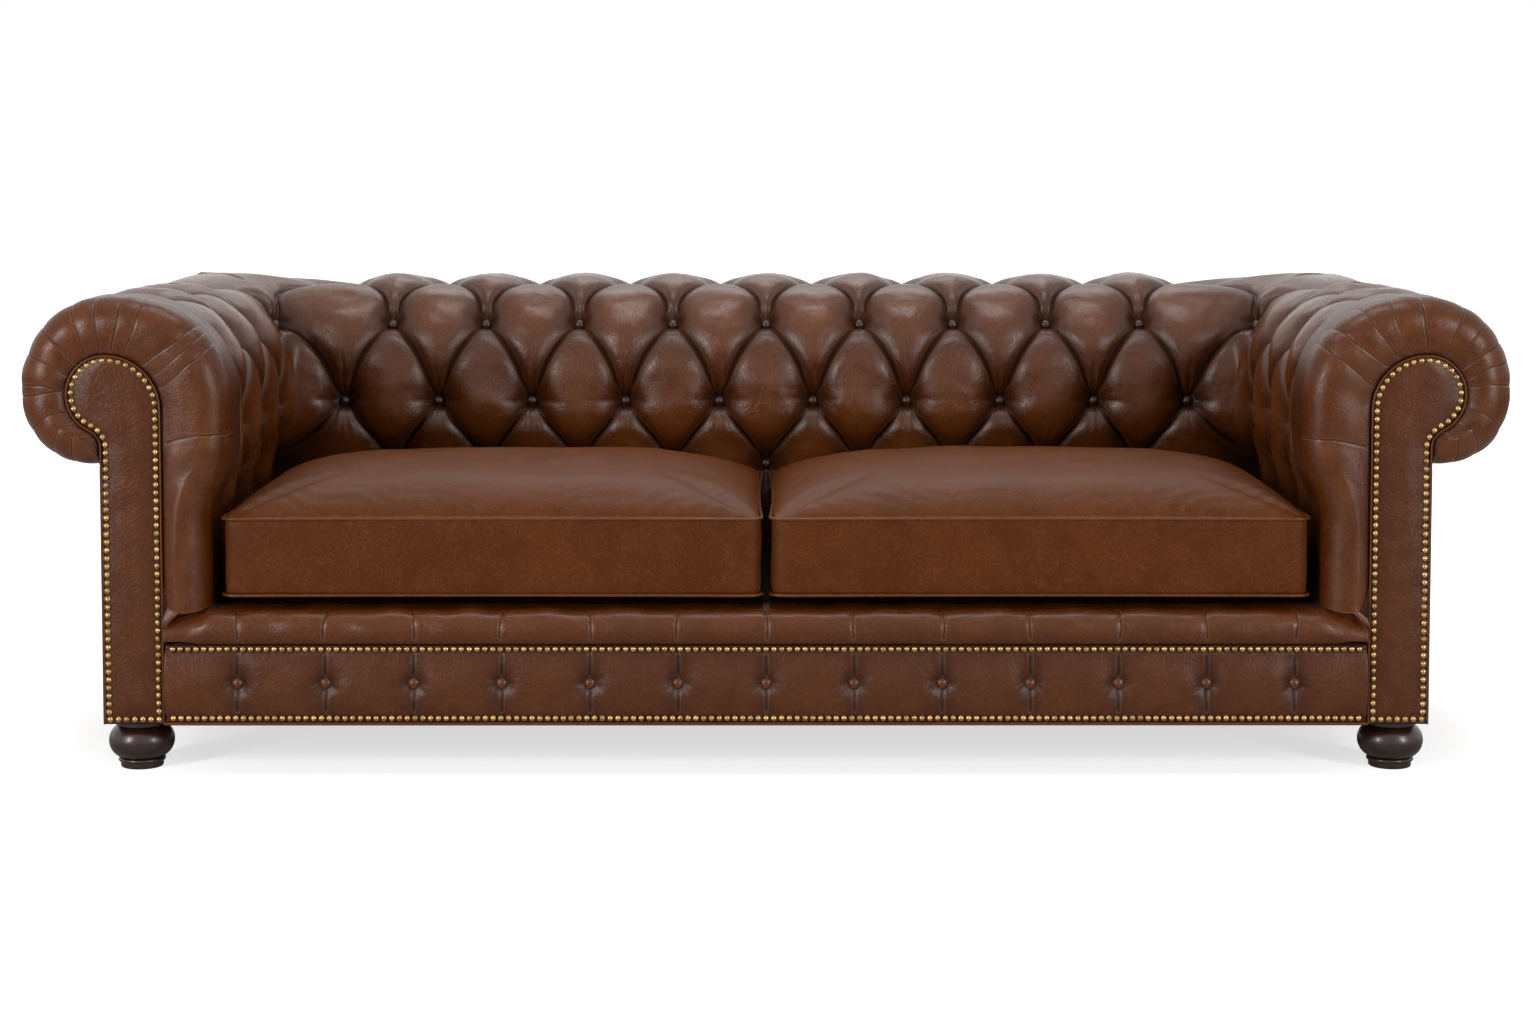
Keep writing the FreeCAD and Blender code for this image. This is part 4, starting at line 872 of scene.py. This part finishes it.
def panel(name, node, corner, across, columns):
    """A flat upholstered panel from its low corner: drawn in at its edges and swollen a little."""
    corner, across = np.array(corner), np.array(across)
    wide, tall = np.linalg.norm(across), PANEL_HEIGHT
    outwards = np.array((across[1], -across[0])) / wide
    mesh = bmesh.new()
    flat_grid(mesh, (0, 1), (0, 1), columns, 50)

    def place(x, y, z):
        edge = np.minimum(np.minimum(x, 1 - x) * wide, np.minimum(y, 1 - y) * tall)
        rise = -3 * cusp(edge, 9) + PANEL_SWELL * smooth(edge, 0, 160) - PANEL_SWELL
        tuck = np.exp(-(1 - y) * tall / 60) + 0.6 * np.exp(-y * tall / 45)
        tuck = tuck * ripples(x * wide, y * tall * 0.15, 55, 91) * smooth(edge, 0, 25)
        wavy = ripples(x * wide, y * tall, 240, 92) * smooth(edge, 0, 60)
        rise = rise + 0.7 * tuck + 0.6 * wavy
        points = [corner[axis] + across[axis] * x + outwards[axis] * rise for axis in range(2)]
        # The crease mark paints shade along the drawn-in edges
        return (*points, PANEL_LOW + y * tall), {"crease": fall(edge, 9)}

    shape(mesh, place)
    piece(mesh, name, PANEL, (node,), thickness=4)


panel("back_panel", "outside_back_panel", (1030.8, 356), (-2061.6, 0), 180)
panel("left_side_panel", "left_outside_panel", (-1031, 347.8), (0, -802.6), 90)
panel("right_side_panel", "right_outside_panel", (1031, -454.8), (0, 802.6), 90)


def deck():
    """The cloth covered pad under the cushions."""
    low, high = box("seat_deck_pad")
    wide, long, tall = high - low
    mesh = bmesh.new()
    bmesh.ops.create_cube(mesh, size=1)
    for axis, cuts in ((0, 60), (1, 22), (2, 4)):
        for index in range(1, cuts):
            point, normal = [0, 0, 0], [0, 0, 0]
            point[axis], normal[axis] = index / cuts - 0.5, 1
            cut(mesh, point, normal, dist=1e-6)

    def place(x, y, z):
        edge = np.minimum((0.5 - np.abs(x)) * wide, (0.5 - np.abs(y)) * long)
        soft = 6 * cusp(edge, 20) + 2 * smooth(edge, 0, 120)
        soft = soft + 0.6 * ripples(x * 1700, y * 600, 90, 95)
        up = low[2] + (z + 0.5) * tall - np.where(z > 0.49, np.abs(soft), 0)
        tuck = 12 * np.abs(z)
        return (x * (wide - tuck), (low[1] + high[1]) / 2 + y * (long - tuck), up), {}

    shape(mesh, place)
    piece(mesh, "deck_pad", DECK, ("seat_deck_pad",))


def cloth(name, node, finish, columns, rows, dip):
    """A thin stretched cloth that dips a little between what holds it."""
    low, high = box(node)
    mesh = bmesh.new()
    flat_grid(mesh, (low[0], high[0]), (low[1], high[1]), columns, rows)

    def place(x, y, z):
        edge = np.minimum(x - low[0], high[0] - x)
        edge = np.minimum(edge, np.minimum(y - low[1], high[1] - y))
        slack = dip * smooth(edge, 20, 200) * (0.7 + 0.3 * ripples(x, y, 300, 97))
        return (x, y, low[2] + 0.9 + dip - slack), {}

    shape(mesh, place)
    made = piece(mesh, name, finish, (node,), thickness=0.5)


deck()
cloth("bottom_cloth", "dust_cover", BLACK, 100, 40, 0.5)
cloth("deck_hessian", "seat_hessian", HESSIAN, 90, 30, 0.2)


def springs():
    """Nine zigzag springs as thin tubes of few sides."""
    low, high = box("seat_springs")
    count, spacing, legs, reach = 9, 180, 30, 16
    start, step = -442, (333 + 442) / legs
    wire = bpy.data.curves.new("zigzag_springs", "CURVE")
    wire.dimensions = "3D"
    wire.bevel_depth = 1.9 * MM
    wire.bevel_resolution = 1
    wire.use_fill_caps = True
    for index in range(count):
        middle = (index - (count - 1) / 2) * spacing
        points = []
        for leg in range(legs + 1):
            side = 1 if leg % 2 else -1
            y = start + leg * step
            points += [(middle - side * reach, y), (middle + side * reach, y)]
            for turn in (-60, -30, 0, 30, 60) if leg < legs else ():
                angle = math.radians(turn)
                points.append((middle + side * (reach + step / 2 * math.cos(angle)),
                               y + step / 2 * (1 + math.sin(angle))))
        path = wire.splines.new("POLY")
        path.points.add(len(points) - 1)
        for point, (x, y) in zip(path.points, points):
            point.co = (x * MM, y * MM, (low[2] + high[2]) / 2 * MM, 1)
    wire.materials.append(STEEL)
    made = add("zigzag_springs", wire)
    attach(made, "sofa")
    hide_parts("seat_springs")


springs()

# Seat cushions: the heights of their seams and of the deck, and their sides in plan
SEAM_LOW, SEAM_HIGH = 277, 396
CUSHION_LOW = 259.6
CUSHION_INNER, CUSHION_OUTER = 8.8, 840.2
CUSHION_FRONT, CUSHION_BACK = -449.4, 174.4
TOP_DOME, UNDER_DOME = 56, 8
FILLING = {"quality": 5, "mass": 0.4, "tension_stiffness": 30, "compression_stiffness": 30,
           "shear_stiffness": 10, "bending_stiffness": 4, "use_pressure": True,
           "uniform_pressure_force": 4, "vertex_group_mass": "seams"}


def cushion(name, side, seed):
    """A boxed cushion: two panels sewn to a border, filled until it swells."""
    half_x, half_y = (CUSHION_OUTER - CUSHION_INNER) / 2, (CUSHION_BACK - CUSHION_FRONT) / 2
    middle_x = side * (CUSHION_OUTER + CUSHION_INNER) / 2
    middle_y = (CUSHION_BACK + CUSHION_FRONT) / 2
    corner, draw = 22, 1.5
    columns, rows = ((84, 62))
    mesh = bmesh.new()
    for level in (-1, 1):
        for vertex in flat_grid(mesh, (-1, 1), (-1, 1), columns, rows):
            vertex.co.z = level
    edges = [edge for edge in mesh.edges if edge.is_boundary]
    bridge = bmesh.ops.bridge_loops(mesh, edges=edges)["edges"]
    bmesh.ops.subdivide_edges(mesh, edges=bridge, cuts=9, use_grid_fill=True)

    def place(x, y, z):
        px, py = x * half_x, y * half_y
        near_x = unit((np.abs(px) - half_x + corner) / corner)
        near_y = unit((np.abs(py) - half_y + corner) / corner)
        pull = np.maximum(near_x, near_y) / np.maximum(np.hypot(near_x, near_y), 1e-9)
        at_corner = near_x * near_y > 0
        round_x = np.sign(px) * (half_x - corner + corner * near_x * pull)
        round_y = np.sign(py) * (half_y - corner + corner * near_y * pull)
        px = np.where(at_corner, round_x, px) - draw * x * (1 - y ** 2)
        py = np.where(at_corner, round_y, py) - draw * y * (1 - x ** 2)
        dome = ((1 - np.abs(x) ** 2.6) * (1 - np.abs(y) ** 2.6)) ** 0.38
        up = SEAM_LOW + (SEAM_HIGH - SEAM_LOW) * (z + 1) / 2
        up = up + np.where(z > 0.99, TOP_DOME * dome, 0) - np.where(z < -0.99, UNDER_DOME * dome, 0)
        seam = (np.abs(np.abs(z) - 1) < 0.01) & (np.maximum(np.abs(x), np.abs(y)) > 0.999)
        return (middle_x + px, middle_y + py, up), {"seam": seam * 1.0}

    shape(mesh, place)
    made = piece(mesh, name, CUSHION,
                 [name + part for part in ("_foam", "_top", "_border", "_bottom")],
                 body=name)
    inflate(made)
    refine(made, side, seed)


def inflate(made):
    """Swell a cushion by cloth pressure, its seams held, and keep the result within a limit."""
    data = made.data
    start = np.array([vertex.co[:] for vertex in data.vertices])
    held = made.vertex_groups.new(name="seams")
    seam = data.attributes["seam"].data
    held.add([index for index in range(len(seam)) if seam[index].value > 0.5], 1.0, "REPLACE")
    cloth_maker = made.modifiers.new("filling", "CLOTH")
    settings = cloth_maker.settings
    for name, value in FILLING.items():
        setattr(settings, name, value)
    settings.effector_weights.gravity = 0
    scene = bpy.context.scene
    for step in range(1, 21):
        scene.frame_set(step)
    swollen = made.evaluated_get(bpy.context.evaluated_depsgraph_get())
    moved = np.array([vertex.co[:] for vertex in swollen.data.vertices]) - start
    made.modifiers.remove(cloth_maker)
    scene.frame_set(1)
    length = np.linalg.norm(moved, axis=1, keepdims=True)
    limit = 18 * MM
    moved = moved * np.minimum(1, limit * np.tanh(length / limit) / np.maximum(length, 1e-9))
    data.vertices.foreach_set("co", (start + moved).ravel())
    data.update()


def refine(made, side, seed):
    """One subdivision, then the small puckers along the seams and the creases of use."""
    finer = made.modifiers.new("finer", "SUBSURF")
    finer.levels = finer.render_levels = 1
    depsgraph = bpy.context.evaluated_depsgraph_get()
    data = bpy.data.meshes.new_from_object(made.evaluated_get(depsgraph))
    made.modifiers.remove(finer)
    made.data = data
    count = len(data.vertices)
    points, normals = np.empty(3 * count), np.empty(3 * count)
    data.vertices.foreach_get("co", points)
    data.vertex_normals.foreach_get("vector", normals)
    points, normals = points.reshape(-1, 3) / MM, normals.reshape(-1, 3)
    x, y, z = points.T
    low, high = points.min(axis=0), points.max(axis=0)
    middle = (low + high) / 2
    from_side = np.minimum(x - low[0], high[0] - x)
    from_end = np.minimum(y - low[1], high[1] - y)
    edge = np.minimum(from_side, from_end)
    from_seam = np.minimum(np.abs(z - SEAM_HIGH), np.abs(z - SEAM_LOW))
    on_top, on_wall = normals[:, 2] > 0.35, np.abs(normals[:, 2]) < 0.6
    run = np.where(from_side < from_end, y, x)
    puckers = 0.6 + 0.4 * ripples(run, 0 * run, 120, seed + 1)
    puckers = ripples(run, 0.12 * edge, 17, seed) * puckers
    wall_part = np.exp(-from_seam / 15) * smooth(from_seam, 0, 5) * on_wall
    top_part = np.exp(-edge / 26) * smooth(edge, 2, 9) * on_top
    rise = puckers * (wall_part + 0.8 * top_part)
    bend = np.hypot(*((points - middle) / (high - low))[:, :2].T)
    rings = np.sin(bend * 150 + 3 * ripples(x, y, 160, seed + 2))
    rise = rise + 0.55 * rings * smooth(bend, 0.36, 0.55) * on_top
    rise = rise + 1.6 * ripples(x, y, 220, seed + 3) * on_top * smooth(edge, 20, 90)
    rise = rise + 0.9 * ripples(x, z, 110, seed + 4) * on_wall * smooth(from_seam, 6, 25)
    points = points + normals * rise[:, None]
    # The cushions stay clear of each other, of the arms and of the deck
    points[:, 0] = side * np.clip(side * points[:, 0], 2.5, 846)
    points[:, 2] = np.maximum(points[:, 2], CUSHION_LOW)
    data.vertices.foreach_set("co", (points * MM).ravel())
    # Painted shade through the crease mark, next to the seams on the walls and next to the edges on
    # the top
    crease = fall(from_seam, 7) * on_wall + fall(edge, 8) * on_top
    rubbed = on_top * (0.25 + 0.3 * smooth(edge, 20, 200)) + on_wall * 0.15
    for label, values in (("crease", unit(crease) * 0.9), ("rubbed", rubbed)):
        layer = data.attributes.new(label, "FLOAT", "POINT")
        layer.data.foreach_set("value", values.astype(np.float32))
    data.update()


cushion("left_cushion", -1, 101)
cushion("right_cushion", 1, 103)

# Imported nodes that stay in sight, or inside, get their finishes
KEPT = {
    BRASS: ("left_facing_nails", "right_facing_nails", "border_nails"),
    BUTTON: ("back_buttons", "left_arm_buttons", "right_arm_buttons"),
    BORDER_BUTTON: ("border_buttons",),
    PIPING: ("facing_piping", "border_piping", "left_cushion_piping", "right_cushion_piping"),
    MAHOGANY: ("front_left_foot", "front_right_foot", "rear_left_foot", "rear_right_foot"),
    STEEL: ("spring_clips", "foot_bolts", "foot_tee_nuts"),
    WEBBING: ("webbing",),
    BEECH: ("front_seat_rail", "rear_seat_rail", "left_side_rail", "right_side_rail",
            "seat_stretchers", "left_arm_front_board", "right_arm_front_board", "rear_posts",
            "back_inner_posts", "left_arm_top_rail", "right_arm_top_rail", "back_top_rail",
            "stay_rails", "corner_blocks"),
}
for finish, nodes in KEPT.items():
    for node in nodes:
        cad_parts[node].data.materials.clear()
        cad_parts[node].data.materials.append(finish)

# Studio. Each lamp has a name, a place, a size and a power, and points at the sofa's middle
LAMPS = (("left", (-3.2, -3.4, 1.5), (0.6, 1.8), 88),
         ("right", (3.2, -3.4, 1.5), (0.6, 1.8), 72),
         ("top", (0, -0.5, 3.8), (2.6, 0.8), 46),
         ("behind", (0, 2.8, 4.0), (3.0, 1.6), 40))
LAMP_AIM = (0, 0, 0.4)
WORLD_LIGHT = 0.14


def make_lamps():
    for name, place, size, power in LAMPS:
        lamp = bpy.data.lights.new(name, "AREA")
        lamp.shape = "RECTANGLE"
        lamp.size, lamp.size_y = size
        lamp.energy = power
        holder = add(name, lamp)
        holder.location = place
        direction = np.array(LAMP_AIM) - np.array(place)
        tilt = math.acos(-direction[2] / np.linalg.norm(direction))
        holder.rotation_euler = (tilt, 0, math.atan2(-direction[0], direction[1]))


def make_world():
    """White to the camera, in reflections and through glass, and a weak light on the sofa."""
    world = bpy.data.worlds.new("studio")
    bpy.context.scene.world = world
    world.use_nodes = True
    nodes = Nodes(world.node_tree)
    seen = nodes.node("ShaderNodeLightPath", output="Is Camera Ray")
    for kind in ("Is Glossy Ray", "Is Transmission Ray"):
        seen = nodes.maths("MAXIMUM", seen, nodes.node("ShaderNodeLightPath", output=kind))
    strength = nodes.node("ShaderNodeMapRange", None, {"Value": seen, "To Min": WORLD_LIGHT})
    sky = nodes.node("ShaderNodeBackground", None, {"Color": WHITE, "Strength": strength})
    nodes.node("ShaderNodeOutputWorld", None, {"Surface": sky})


def make_floor():
    """Pale paper that glows a little to the camera, and more away from the sofa."""
    finish = Finish("floor")
    paper = finish.node("ShaderNodeBsdfDiffuse", None, {"Color": rgb((0.80, 0.80, 0.80))})
    seen = finish.node("ShaderNodeLightPath", output="Is Camera Ray")
    away = finish.node("ShaderNodeVectorMath", {"operation": "LENGTH"},
                       {0: finish.stretched((0.95, 1.5, 1))}, "Value")
    strength = seen * (0.66 + 0.5 * finish.between(away, 0.95, 1.6))
    glow = finish.node("ShaderNodeEmission", None, {"Color": WHITE, "Strength": strength})
    finish.output(finish.node("ShaderNodeAddShader", None, {0: paper, 1: glow}))
    mesh = bmesh.new()
    bmesh.ops.create_grid(mesh, x_segments=2, y_segments=2, size=30)
    from_mesh(mesh, "floor", finish.material)


make_world()
make_lamps()
make_floor()
bpy.context.scene.view_settings.view_transform = "Standard"
